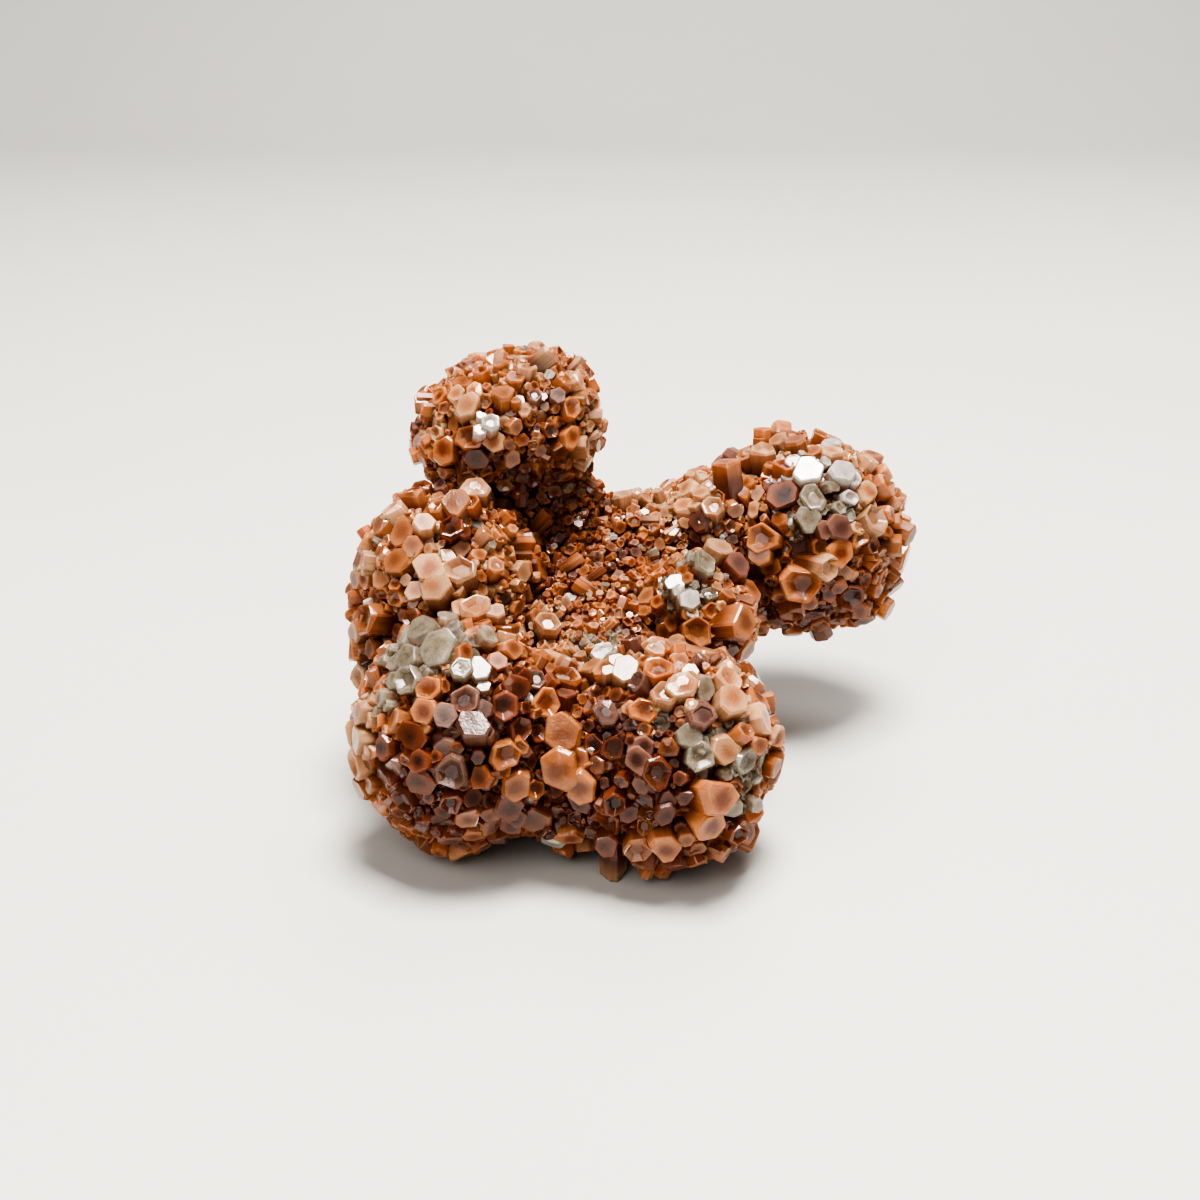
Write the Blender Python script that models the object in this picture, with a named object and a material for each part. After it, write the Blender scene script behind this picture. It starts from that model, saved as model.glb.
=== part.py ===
"""An aragonite cluster: stubby brown six-sided crystals grown outwards from a lumpy heart.

The cluster is one solid. Its lumps are ellipsoids joined together, and its crystals are
flat-ended prisms sunk into them. It stands on the ground-flat ends of a few crystals.
Lengths are in metres, +Z is up, and +Y points away from the viewer.
"""

import math

import bmesh
import bpy
import numpy as np
from mathutils import Matrix, Vector

MM = 0.001
NODE_NAME = "aragonite_cluster"

# Where the middle of the cluster's footprint lies, in the frame that the lumps are measured in.
FOOTPRINT_MIDDLE = Vector((8.475, -9.085, 0.0)) * MM

# The place that the cluster is seen from, how far the view looks down, and its long focus.
EYE = Vector((0.5, -287.7, 147.6)) * MM
LOOK_DOWN = math.radians(22.0)
FOCUS_PIXELS = 1700.0
VIEW_MIDDLE = 600.0

# A sight line is searched for the cluster from here on, over this length and in these steps.
SIGHT_START = 220.0 * MM
SIGHT_LENGTH = 180.0 * MM
SIGHT_STEP = 0.5 * MM

# Lumps: centre and half sizes in millimetres, as far out as the crystals' ends reach on average,
# and how many degrees the lump leans down towards the viewer.
LUMPS = {
    "heart": ((-2, -4, 22), (20, 21, 16), 0),
    "saddle": ((-3, 1, 31), (23, 22, 11), 28),
    "front_left": ((-22, -35, 21.5), (17.5, 17, 19.5), 0),
    "front_right": ((11.5, -38, 19.3), (18, 16.5, 18.5), 0),
    "front_middle": ((-5.5, -33, 17), (12, 15, 14), 0),
    "left_shoulder": ((-26.5, -8, 36), (16.5, 16.5, 18.5), 0),
    "left_hip": ((-29, -12, 23), (13.5, 13, 13), 0),
    "top_low": ((-20, 8, 60), (12.5, 13, 12.5), 0),
    "top_high": ((-12.5, 8, 63.5), (13, 13.5, 12.5), 0),
    "top_neck": ((-13.5, 10.5, 46), (13.5, 11, 12), 0),
    "right_arm": ((39, 20, 37), (19.5, 18, 18.5), 0),
    "right_neck": ((22, 13, 42.5), (10.5, 10.5, 9), 0),
    "right_ridge": ((9, 11, 38), (13, 11, 9.5), 0),
    "right_hip": ((18.5, -12, 33.5), (9.5, 10, 11), 0),
    "back_foot": ((0, 16, 17), (17, 16, 16.5), 0),
}
BLEND = 1.6 * MM
CORE_DEPTH = 1.0 * MM
CORE_ROUGHNESS = 0.8 * MM
ROUGH_SEED = 3
CORE_STEPS = {"saddle": 4, "heart": 3, "top_neck": 3, "right_ridge": 3}

# Lumps that carry only fine crystals, too small to be modelled here one by one.
FINE_LUMPS = ("heart", "saddle", "top_neck", "right_ridge")

# Crystals that stand out, by where their ends are seen: across, down, width in millimetres, how
# proud they stand, and where their length points if not straight out: right, up, towards the eye.
KEY_CRYSTALS = [
    # the top lump
    (553, 354, 4.2, 2.0, (0.75, 0.65, 0.1)),
    (581, 380, 3.8, 2.0, (0.9, 0.35, 0.3)),
    (589, 397, 3.4, 1.5, (0.95, -0.1, 0.2)),
    (588, 447, 4.0, 1.5, (1.0, 0.0, 0.15)),
    (588, 466, 3.6, 1.5, (0.85, -0.5, 0.1)),
    (566, 378, 3.6, 1.6, (0.5, 0.6, 0.6)),
    (535, 395, 2.9, 1.6, (0.1, 0.45, 0.9)),
    (559, 394, 3.0, 1.4, (0.2, 0.3, 0.9)),
    (528, 366, 3.6, 1.5, (0.2, 0.8, 0.5)),
    (456, 393, 3.2, 1.6, (-0.2, 0.4, 0.9)),
    (438, 395, 3.6, 1.6, (-0.6, 0.4, 0.7)),
    (420, 411, 3.4, 1.4, (-1.0, 0.1, 0.2)),
    (466, 405, 5.0, 3.0, (-0.1, 0.35, 0.9)),
    (470, 437, 5.2, 2.2, (-0.1, -0.1, 1.0)),
    (491, 420, 3.6, 2.4, (0.15, 0.5, 0.8)),
    (494, 442, 3.8, 1.4, (0.1, 0.0, 1.0)),
    (443, 450, 5.0, 2.0, (-0.4, -0.1, 0.9)),
    (476, 459, 4.6, 1.6, (0.0, -0.35, 0.9)),
    (504, 392, 3.9, 2.4, (0.0, 0.65, 0.75)),
    (515, 376, 3.6, 1.5, (0.1, 0.7, 0.7)),
    (480, 369, 3.4, 1.4, (-0.2, 0.8, 0.6)),
    (422, 452, 3.2, 1.4, (-0.8, -0.5, 0.3)),
    (574, 407, 4.0, 1.4, (0.5, 0.2, 0.8)),
    (573, 437, 4.0, 1.6, (0.6, 0.0, 0.8)),
    # the left shoulder
    (475, 486, 5.4, 2.4, (0.1, 0.6, 0.8)),
    (455, 501, 5.8, 2.6, (-0.1, 0.5, 0.8)),
    (451, 527, 4.6, 1.8, (0.1, 0.3, 0.9)),
    (411, 490, 4.4, 2.0, (-0.3, 0.9, 0.3)),
    (389, 508, 5.0, 1.8, (-0.6, 0.75, 0.3)),
    (378, 524, 4.6, 1.6, (-0.8, 0.4, 0.5)),
    (424, 522, 4.4, 2.2, (0.0, 0.6, 0.8)),
    (413, 545, 4.2, 1.6, (-0.2, 0.3, 0.9)),
    (396, 560, 5.4, 1.8, (-0.5, 0.4, 0.8)),
    (428, 568, 5.6, 2.2, (-0.2, 0.3, 0.9)),
    (458, 567, 6.2, 2.6, (-0.05, 0.62, 0.8)),
    (434, 586, 5.4, 4.0, (-0.3, 0.75, 0.55)),
    (361, 561, 3.6, 1.4, (-1.0, 0.2, 0.3)),
    (362, 618, 6.4, 3.0, (-0.8, 0.1, 0.6)),
    (352, 634, 4.2, 1.5, (-0.8, -0.2, 0.5)),
    (356, 676, 4.6, 2.0, (-0.85, -0.1, 0.6)),
    (367, 662, 4.2, 1.2, (-0.6, 0.0, 0.8)),
    # the front left lump
    (475, 604, 6.0, 2.4, (0.0, 0.75, 0.7)),
    (548, 621, 4.8, 2.2, (0.15, 0.55, 0.8)),
    (419, 627, 6.2, 2.0, (-0.5, 0.6, 0.6)),
    (436, 645, 6.6, 1.6, (-0.3, 0.45, 0.8)),
    (404, 658, 4.6, 1.6, (-0.7, 0.3, 0.7)),
    (404, 680, 5.2, 1.6, (-0.6, 0.2, 0.8)),
    (460, 667, 4.0, 2.2, (0.0, 0.5, 0.85)),
    (480, 668, 4.4, 1.8, (0.1, 0.5, 0.85)),
    (465, 701, 5.2, 2.0, (0.0, 0.1, 1.0)),
    (472, 723, 5.6, 2.6, (0.0, 0.5, 0.85)),
    (444, 716, 4.2, 1.6, (-0.1, 0.1, 1.0)),
    (423, 712, 4.4, 1.6, (-0.3, 0.1, 0.95)),
    (427, 688, 4.2, 1.6, (-0.3, 0.3, 0.9)),
    (505, 706, 4.4, 1.8, (0.15, 0.0, 1.0)),
    (518, 687, 4.4, 1.6, (0.2, 0.1, 1.0)),
    (548, 703, 4.8, 2.0, (0.35, 0.05, 0.9)),
    (536, 678, 3.4, 1.8, (0.1, 0.45, 0.85)),
    (357, 712, 4.8, 1.6, (-0.95, 0.1, 0.4)),
    (355, 740, 5.0, 1.6, (-1.0, 0.0, 0.4)),
    (352, 765, 5.6, 1.8, (-0.95, -0.25, 0.4)),
    (410, 736, 5.0, 1.8, (-0.3, -0.05, 0.95)),
    (382, 748, 4.6, 1.4, (-0.6, -0.1, 0.8)),
    (451, 773, 5.8, 1.8, (-0.1, -0.3, 0.95)),
    (505, 757, 5.4, 2.2, (0.15, -0.2, 0.95)),
    (516, 788, 5.6, 2.0, (0.2, -0.35, 0.9)),
    (419, 782, 5.0, 1.4, (-0.3, -0.35, 0.9)),
    (450, 806, 4.0, 1.6, (-0.05, -0.5, 0.85)),
    (510, 810, 5.2, 1.4, (0.2, -0.5, 0.85)),
    # the front right lump
    (562, 735, 6.6, 2.6, (-0.2, 0.05, 1.0)),
    (558, 770, 6.4, 2.8, (-0.25, -0.15, 0.95)),
    (580, 789, 5.2, 2.0, (-0.15, -0.3, 0.95)),
    (604, 846, 4.6, 1.8, (-0.2, -0.5, 0.8)),
    (639, 853, 5.2, 2.0, (-0.05, -0.6, 0.8)),
    (667, 850, 5.6, 2.2, (0.15, -0.6, 0.8)),
    (722, 798, 6.8, 2.8, (0.55, -0.1, 0.8)),
    (712, 828, 5.2, 2.0, (0.5, -0.5, 0.7)),
    (638, 761, 4.8, 2.2, (0.0, -0.1, 1.0)),
    (659, 774, 4.8, 2.0, (0.1, -0.2, 1.0)),
    (613, 806, 4.4, 1.4, (-0.1, -0.4, 0.9)),
    (666, 816, 4.2, 1.4, (0.1, -0.4, 0.9)),
    (644, 710, 4.4, 1.8, (0.0, 0.2, 1.0)),
    (606, 712, 4.8, 1.8, (-0.1, 0.3, 0.95)),
    (704, 715, 4.8, 2.4, (0.25, 0.5, 0.8)),
    (689, 736, 4.4, 1.8, (0.25, 0.25, 0.95)),
    (666, 692, 4.8, 2.0, (0.1, 0.62, 0.78)),
    (684, 684, 5.2, 1.8, (0.1, 0.6, 0.8)),
    (659, 666, 5.0, 2.0, (0.0, 0.7, 0.7)),
    (733, 697, 5.6, 2.0, (0.4, 0.5, 0.75)),
    (766, 718, 5.2, 1.8, (0.95, 0.3, 0.35)),
    (702, 757, 5.2, 1.8, (0.25, 0.0, 0.95)),
    (727, 751, 5.2, 1.8, (0.45, 0.0, 0.9)),
    (749, 762, 4.6, 1.6, (0.75, -0.1, 0.7)),
    (626, 668, 4.8, 1.8, (0.0, 0.6, 0.8)),
    (602, 650, 4.6, 1.8, (0.0, 0.65, 0.75)),
    # the right hip and the pale neck
    (698, 631, 5.8, 2.6, (0.1, 0.05, 1.0)),
    (746, 622, 6.2, 3.4, (0.75, 0.1, 0.65)),
    (691, 599, 4.2, 1.8, (0.2, 0.5, 0.85)),
    (675, 581, 3.8, 1.4, (0.0, 0.5, 0.85)),
    (720, 545, 5.2, 2.2, (0.5, 0.3, 0.8)),
    (706, 561, 4.6, 1.8, (0.3, 0.55, 0.75)),
    (623, 493, 4.2, 1.4, (-0.1, 0.9, 0.4)),
    # the right arm
    (725, 461, 4.8, 4.5, (-0.15, 0.95, 0.35)),
    (762, 428, 4.2, 3.2, (-0.05, 0.95, 0.2)),
    (763, 448, 5.2, 2.4, (-0.1, 0.8, 0.55)),
    (745, 452, 4.4, 1.8, (-0.4, 0.7, 0.5)),
    (808, 468, 6.0, 2.2, (0.0, 0.5, 0.85)),
    (813, 496, 5.0, 1.6, (0.0, 0.35, 0.95)),
    (844, 470, 5.8, 2.2, (0.25, 0.55, 0.8)),
    (809, 518, 5.4, 1.8, (0.0, 0.1, 1.0)),
    (869, 491, 4.8, 1.6, (0.5, 0.4, 0.75)),
    (889, 484, 5.0, 1.8, (0.8, 0.5, 0.4)),
    (877, 518, 6.2, 2.4, (0.55, 0.35, 0.75)),
    (841, 528, 5.4, 1.6, (0.25, 0.1, 0.95)),
    (761, 538, 6.0, 2.4, (-0.35, 0.1, 0.95)),
    (803, 586, 7.8, 3.0, (-0.05, -0.3, 0.95)),
    (830, 568, 5.2, 3.0, (0.6, -0.2, 0.75)),
    (842, 552, 6.2, 1.8, (0.3, 0.0, 0.95)),
    (853, 598, 5.6, 1.8, (0.3, -0.4, 0.85)),
    (890, 611, 4.4, 2.2, (0.8, -0.5, 0.35)),
    (738, 563, 5.0, 1.6, (-0.5, -0.05, 0.85)),
    (784, 494, 6.0, 1.2, (-0.1, 0.2, 1.0)),
    (714, 505, 4.4, 2.6, (-0.3, 0.8, 0.6)),
    (699, 520, 4.6, 1.8, (-0.4, 0.2, 0.9)),
    (700, 492, 4.0, 2.0, (-0.4, 0.85, 0.4)),
    (832, 450, 4.6, 1.6, (0.1, 0.85, 0.5)),
    (872, 459, 3.8, 2.0, (0.5, 0.8, 0.3)),
    (902, 546, 4.4, 1.6, (1.0, 0.0, 0.2)),
]
MOST_LENGTH = 17.0 * MM
ROOT_MARGIN = 0.5 * MM

# The crystals that the cluster stands on: across, away, and width, all in millimetres.
FEET = [
    (2.8, -43.5, 5.4),
    (-21.5, -36.0, 5.2),
    (-7.5, 20.0, 5.6),
    (9.0, 19.0, 5.2),
]

# Crystals scattered between those: on which side of the cluster, how many at most, how wide and
# how proud against the lump's usual width, how close their ends come, and how much they lean.
# Darts that land deep in a valley or close to the floor are left out, and a place is on the front
# where a short step towards the viewer leads out of the lumps.
SCATTER_SEED = 11
SCATTER_TRIES = 5000
VALLEY_DEPTH = 1.5 * MM
LOWEST_TIP = 1.5 * MM
STEP_TO_VIEWER = 4.0 * MM
SCATTER = {
    "front": (42, (0.85, 1.15), (0.05, 0.3), 0.84, 0.14),
    "back": (46, (1.15, 1.6), (0.05, 0.35), 0.95, 0.18),
}
USUAL_WIDTH = 5.2 * MM
SMALLER_LUMPS = {"top_low": 0.72, "top_high": 0.72, "right_neck": 0.85, "right_hip": 0.85}

# A prism's side faces lie this share of half its width from its axis.
SIDE_SHARE = (0.77, 1.07)
TIP_TAPER = 0.97
FLOOR_CLEARANCE = 0.05 * MM


def lump_arrays():
    """Centres, half sizes and turns of all lumps, in metres."""
    centres = np.array([lump[0] for lump in LUMPS.values()], float) * MM
    halves = np.array([lump[1] for lump in LUMPS.values()], float) * MM
    turns = [Matrix.Rotation(math.radians(lump[2]), 3, "X") for lump in LUMPS.values()]
    return centres - np.array(FOOTPRINT_MIDDLE), halves, np.array(turns)


CENTRES, HALVES, TURNS = lump_arrays()
VIEWPOINT = EYE - FOOTPRINT_MIDDLE


def growth(point):
    """Height of a point over the blended lumps, and the way straight out from them."""
    offset = np.einsum("kji,kj->ki", TURNS, np.asarray(point, float) - CENTRES) / HALVES
    share = np.maximum(np.linalg.norm(offset, axis=1), 1e-6)
    slope = np.linalg.norm(offset / HALVES, axis=1)
    heights = share * (share - 1.0) / np.maximum(slope, 1e-6)
    weights = np.exp(-(heights - heights.min()) / BLEND)
    height = heights.min() - BLEND * math.log(weights.sum())
    ways = offset / HALVES / np.maximum(slope, 1e-6)[:, None]
    way = np.einsum("kij,kj,k->i", TURNS, ways, weights)
    return height, Vector(way).normalized(), int(weights.argmax())


def view_ways():
    """Right, up and towards the eye, as directions in space."""
    forward = Vector((0.0, math.cos(LOOK_DOWN), -math.sin(LOOK_DOWN)))
    right = Vector((1.0, 0.0, 0.0))
    return right, right.cross(forward), -forward


RIGHT, UP, TOWARDS = view_ways()


def seen_point(across, down, proud):
    """The point over the lumps, proud by that height, that is seen at this place in the view."""
    way = RIGHT * (across - VIEW_MIDDLE) + UP * (VIEW_MIDDLE - down) - TOWARDS * FOCUS_PIXELS
    way.normalize()
    best = (1.0, None)
    for k in range(int(SIGHT_LENGTH / SIGHT_STEP)):
        point = VIEWPOINT + way * (SIGHT_START + k * SIGHT_STEP)
        height = growth(point)[0] - proud
        if height < best[0]:
            best = (height, point)
        if height < 0:
            break
    return best[1]


def hexagon(flats):
    """Corners of a hexagon whose sides lie at these distances from its middle, 60 degrees apart."""
    corners = []
    for k, (flat, following) in enumerate(zip(flats, flats[1:] + flats[:1])):
        aside = (following - flat * 0.5) / math.sin(math.radians(60))
        turned = Matrix.Rotation(math.radians(60 * k), 2)
        corners.append(turned @ Vector((flat, aside)))
    return corners


def root_depth(tip, out, width):
    """How long a crystal must be for its root to lie well inside the lumps, or None."""
    for k in range(1, int(MOST_LENGTH / MM)):
        if growth(tip - out * (k * MM))[0] < -(0.45 * width + CORE_DEPTH + ROOT_MARGIN):
            return k * MM
    return None


def crystal(tip, out, width, draw):
    """The facts of one crystal: where its end is, which way it grew, and its cross-section."""
    out = out.normalized()
    straight = growth(tip)[1]
    for share in (0.0, 0.3, 0.6, 1.0):
        out = out.lerp(straight, share).normalized()
        length = root_depth(tip, out, width)
        if length is not None:
            break
    length = length or MOST_LENGTH
    half = width / 2
    flats = [half * draw.uniform(*SIDE_SHARE) for _ in range(6)]
    return {"tip": tip, "out": out, "flats": flats, "length": length,
            "twist": draw.uniform(0, math.pi), "width": width}


def sides(out, twist):
    """Two directions across a crystal, turned about its length."""
    across = out.orthogonal().normalized()
    across.rotate(Matrix.Rotation(twist, 3, out))
    return across, out.cross(across)


def raised_clear(item):
    """Draws a crystal back along its length until its end is clear of the floor."""
    across, along = sides(item["out"], item["twist"])
    lowest = min((across * c.x + along * c.y).z for c in hexagon(item["flats"])) + item["tip"].z
    if lowest < FLOOR_CLEARANCE and item["out"].z < -0.05:
        item["tip"] = item["tip"] + item["out"] * ((FLOOR_CLEARANCE - lowest) / item["out"].z)
    return item


def foot_crystals(draw):
    """Upright crystals whose flat lower ends carry the cluster."""
    feet = []
    for across, away, width in FEET:
        tip = Vector((across, away, 0)) * MM - FOOTPRINT_MIDDLE
        tip.z = 0
        feet.append(crystal(tip, Vector((0, 0, -1)), width * MM, draw))
    return feet


def key_crystals(draw):
    """The crystals that are placed one by one."""
    made = []
    for across, down, width, proud, lean in KEY_CRYSTALS:
        tip = seen_point(across, down, proud * MM)
        right, up, towards = lean
        out = RIGHT * right + UP * up + TOWARDS * towards
        made.append(raised_clear(crystal(tip, out, width * MM, draw)))
    return made


def random_way(draw):
    """A direction in space, none more likely than another."""
    return Vector(draw.normal(size=3)).normalized()


def surface_point(which, way):
    """Where a lump's surface lies in a direction of its own frame."""
    return Vector(CENTRES[which]) + Matrix(TURNS[which]) @ (way * Vector(HALVES[which]))


def scattered_crystals(side, draw, taken):
    """Crystals over the coarse lumps on one side, each clear of its neighbours' ends."""
    most, widths, proud, gap, lean = SCATTER[side]
    spots = [(item["tip"], item["width"]) for item in taken]
    made = []
    for _ in range(SCATTER_TRIES):
        which = draw.integers(len(LUMPS))
        point = surface_point(which, random_way(draw))
        height, out, nearest = growth(point)
        usual = USUAL_WIDTH * SMALLER_LUMPS.get(list(LUMPS)[nearest], 1.0)
        width = draw.uniform(*widths) * usual
        tip = point - out * (height - draw.uniform(*proud) * usual)
        out = out + Vector(draw.normal(size=3)) * lean
        if height < -VALLEY_DEPTH or list(LUMPS)[nearest] in FINE_LUMPS or tip.z < LOWEST_TIP:
            continue
        seen = growth(point + (VIEWPOINT - point).normalized() * STEP_TO_VIEWER)[0] > height
        if len(made) == most or seen != (side == "front"):
            continue
        if any((tip - spot).length < gap * (width + other) / 2 for spot, other in spots):
            continue
        spots.append((tip, width))
        made.append(raised_clear(crystal(tip, out, width, draw)))
    return made


def add_crystal(mesh, item):
    """Adds one closed six-sided prism to a bmesh."""
    across, along = sides(item["out"], item["twist"])
    rings = []
    for centre, scale in ((item["tip"] - item["out"] * item["length"], 1.0), (item["tip"], TIP_TAPER)):
        ring = [centre + (across * c.x + along * c.y) * scale for c in hexagon(item["flats"])]
        rings.append([mesh.verts.new(corner) for corner in ring])
    root, tip = rings
    mesh.faces.new(reversed(root))
    mesh.faces.new(tip)
    for k in range(6):
        following = (k + 1) % 6
        mesh.faces.new((root[k], root[following], tip[following], tip[k]))


def mesh_object(name, mesh):
    """A scene object made from a bmesh."""
    data = bpy.data.meshes.new(name)
    mesh.to_mesh(data)
    mesh.free()
    obj = bpy.data.objects.new(name, data)
    bpy.context.scene.collection.objects.link(obj)
    return obj


def add_lump(mesh, which, draw):
    """Adds one lump of the heart, a little smaller than the crystals' ends reach."""
    steps = CORE_STEPS.get(list(LUMPS)[which], 2)
    made = bmesh.ops.create_icosphere(mesh, subdivisions=steps, radius=1.0)["verts"]
    shrink = Vector(1.0 - CORE_DEPTH / half for half in HALVES[which])
    for vert in made:
        rough = vert.co * draw.uniform(-CORE_ROUGHNESS, CORE_ROUGHNESS)
        vert.co = surface_point(which, vert.co * shrink) + Matrix(TURNS[which]) @ rough


def as_helper(obj):
    """Hides an object that only shapes another."""
    obj.hide_render = True
    obj.display_type = "WIRE"
    return obj


def join_to(obj, other, name):
    """Adds a Boolean that joins another object's shapes to obj."""
    union = obj.modifiers.new(name, "BOOLEAN")
    union.operation = "UNION"
    union.solver = "EXACT"
    union.use_self = True
    union.object = as_helper(other)


def largest_body(obj):
    """Applies an object's modifiers, and drops any sealed pocket that the union left inside."""
    graph = bpy.context.evaluated_depsgraph_get()
    joined = bmesh.new()
    joined.from_mesh(obj.evaluated_get(graph).to_mesh())
    bodies = []
    unseen = set(joined.verts)
    while unseen:
        body, edge = set(), [unseen.pop()]
        while edge:
            vert = edge.pop()
            body.add(vert)
            beside = {link.other_vert(vert) for link in vert.link_edges} & unseen
            unseen -= beside
            edge += beside
        bodies.append(body)
    largest = max(bodies, key=len)
    bmesh.ops.delete(joined, geom=[v for v in joined.verts if v not in largest], context="VERTS")
    obj.modifiers.clear()
    joined.to_mesh(obj.data)
    joined.free()


def stone():
    """Warm brown crystal."""
    material = bpy.data.materials.new("aragonite")
    material.use_nodes = True
    shader = material.node_tree.nodes["Principled BSDF"]
    shader.inputs["Base Color"].default_value = (0.42, 0.15, 0.06, 1.0)
    shader.inputs["Roughness"].default_value = 0.4
    shader.inputs["Metallic"].default_value = 0.0
    return material


def main():
    for old in list(bpy.data.objects):
        bpy.data.objects.remove(old)

    rough = np.random.default_rng(ROUGH_SEED)
    lumps = bmesh.new()
    for which in range(len(LUMPS)):
        add_lump(lumps, which, rough)
    heart = mesh_object(NODE_NAME, lumps)

    draw = np.random.default_rng(SCATTER_SEED)
    placed = foot_crystals(draw) + key_crystals(draw)
    for side in SCATTER:
        placed += scattered_crystals(side, draw, placed)
    prisms = bmesh.new()
    for item in placed:
        add_crystal(prisms, item)
    join_to(heart, mesh_object("crystals", prisms), "crystals")
    largest_body(heart)
    heart.data.materials.append(stone())
    print(len(placed), "crystals")


main()
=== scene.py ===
# %% [markdown]
# # An aragonite cluster, grown crystal by crystal
#
# The thing here is a natural cluster of aragonite: stubby six-sided prisms, amber to brown, that
# grew outwards from a few centres until their lumps met. A cluster like this can be made in three
# steps. First comes an invisible growth surface, fifteen ellipsoids blended into one. Then
# crystals are set on it: the ones that stand out are placed one by one, the rest are scattered in
# ever smaller sizes until hardly a gap is left. Last comes the stone itself, which is mostly a
# matter of light that enters one facet and leaves by another.
#
# The solid part that physics uses is a coarse version of the same cluster. This script grows the
# same lumps and the same large crystals, and adds everything that is too fine for that solid.

import math

import bmesh
import bpy
import numpy as np
from mathutils import Matrix, Vector, noise


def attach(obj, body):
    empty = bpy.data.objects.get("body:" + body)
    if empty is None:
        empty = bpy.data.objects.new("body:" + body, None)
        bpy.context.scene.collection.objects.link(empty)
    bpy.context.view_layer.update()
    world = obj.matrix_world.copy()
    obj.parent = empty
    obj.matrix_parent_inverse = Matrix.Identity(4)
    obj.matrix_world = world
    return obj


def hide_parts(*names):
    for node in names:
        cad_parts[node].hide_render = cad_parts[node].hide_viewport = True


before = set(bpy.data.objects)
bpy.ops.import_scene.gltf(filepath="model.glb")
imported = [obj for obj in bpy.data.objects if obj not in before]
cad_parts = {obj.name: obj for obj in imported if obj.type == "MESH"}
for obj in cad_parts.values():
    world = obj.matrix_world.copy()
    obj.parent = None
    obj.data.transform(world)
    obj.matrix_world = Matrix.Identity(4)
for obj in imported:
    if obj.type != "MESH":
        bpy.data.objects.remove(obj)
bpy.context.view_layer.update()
MM = 0.001

# %% [markdown]
# ## The growth surface
#
# Every lump is an ellipsoid, as far out as its crystals' ends reach on average. The height of a
# point over one ellipsoid is nearly its distance; blending the heights with a soft minimum rounds
# the valleys where two lumps meet, as crystals that compete for room do. The blend also gives the
# way that points straight out, which is the way crystals grow.

# %% Lumps and their blend
# Places below are in millimetres from a point inside the cluster's footprint, and the footprint's
# middle, which is the origin, lies this far from that point.
FOOTPRINT_MIDDLE = np.array((8.475, -9.085, 0.0)) * MM

# A lump: its centre, its half sizes, and its turn about the x axis in degrees.
LUMPS = {
    "heart": ((-2, -4, 22), (20, 21, 16), 0),
    "saddle": ((-3, 1, 31), (23, 22, 11), 28),
    "front_left": ((-22, -35, 21.5), (17.5, 17, 19.5), 0),
    "front_right": ((11.5, -38, 19.3), (18, 16.5, 18.5), 0),
    "front_middle": ((-5.5, -33, 17), (12, 15, 14), 0),
    "left_shoulder": ((-26.5, -8, 36), (16.5, 16.5, 18.5), 0),
    "left_hip": ((-29, -12, 23), (13.5, 13, 13), 0),
    "top_low": ((-20, 8, 60), (12.5, 13, 12.5), 0),
    "top_high": ((-12.5, 8, 63.5), (13, 13.5, 12.5), 0),
    "top_neck": ((-13.5, 10.5, 46), (13.5, 11, 12), 0),
    "right_arm": ((39, 20, 37), (19.5, 18, 18.5), 0),
    "right_neck": ((22, 13, 42.5), (10.5, 10.5, 9), 0),
    "right_ridge": ((9, 11, 38), (13, 11, 9.5), 0),
    "right_hip": ((18.5, -12, 33.5), (9.5, 10, 11), 0),
    "back_foot": ((0, 16, 17), (17, 16, 16.5), 0),
}
BLEND = 1.6 * MM
NAMES = list(LUMPS)
CENTRES = np.array([lump[0] for lump in LUMPS.values()], float) * MM - FOOTPRINT_MIDDLE
HALVES = np.array([lump[1] for lump in LUMPS.values()], float) * MM
TURNS = np.array([Matrix.Rotation(math.radians(lump[2]), 3, "X") for lump in LUMPS.values()])


def unit(vectors):
    """Vectors scaled to length one."""
    vectors = np.asarray(vectors, float)
    return vectors / np.maximum(np.linalg.norm(vectors, axis=-1, keepdims=True), 1e-12)


def growth(points):
    """Heights of points over the growth surface, the ways straight out, and the nearest lumps."""
    local = np.einsum("kji,nkj->nki", TURNS, np.atleast_2d(points)[:, None] - CENTRES) / HALVES
    share = np.maximum(np.linalg.norm(local, axis=2), 1e-6)
    slope = np.maximum(np.linalg.norm(local / HALVES, axis=2), 1e-6)
    heights = share * (share - 1.0) / slope
    lowest = heights.min(axis=1)
    weights = np.exp(-(heights - lowest[:, None]) / BLEND)
    ways = np.einsum("kij,nkj,nk->ni", TURNS, local / HALVES / slope[..., None], weights)
    return lowest - BLEND * np.log(weights.sum(axis=1)), unit(ways), weights.argmax(axis=1)


def onto_surface(points):
    """Points moved along the way out until they lie on the growth surface."""
    for _ in range(3):
        heights, ways, _ = growth(points)
        points = points - ways * heights[:, None]
    return points


print(len(LUMPS), "lumps")

# %% [markdown]
# ## The view, and the crystals that stand out
#
# The camera stands about 30 cm in front of the cluster and looks down at it. A crystal that stands
# out is placed by the sight line through its end: the line is followed until it meets the growth
# surface, raised by how proud the crystal stands. That fixes its place in space, so it stays right
# from every side. The first numbers of each line are where its end is seen in the 1200-pixel view,
# then come its width and how proud it stands in millimetres, the way it points (right, up, towards
# the eye), and its kind of stone.

# %% Key crystals
EYE = np.array((0.5, -287.7, 147.6)) * MM - FOOTPRINT_MIDDLE
LOOK_DOWN = math.radians(22.0)
FOCUS_PIXELS = 1700.0
VIEW_PIXELS = 1200.0
SIGHT_START = 220.0 * MM
SIGHT_STEP = 0.5 * MM
SIGHT_STEPS = 360
RIGHT = np.array((1.0, 0.0, 0.0))
TOWARDS = np.array((0.0, -math.cos(LOOK_DOWN), math.sin(LOOK_DOWN)))
UP = np.cross(TOWARDS, RIGHT)

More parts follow.
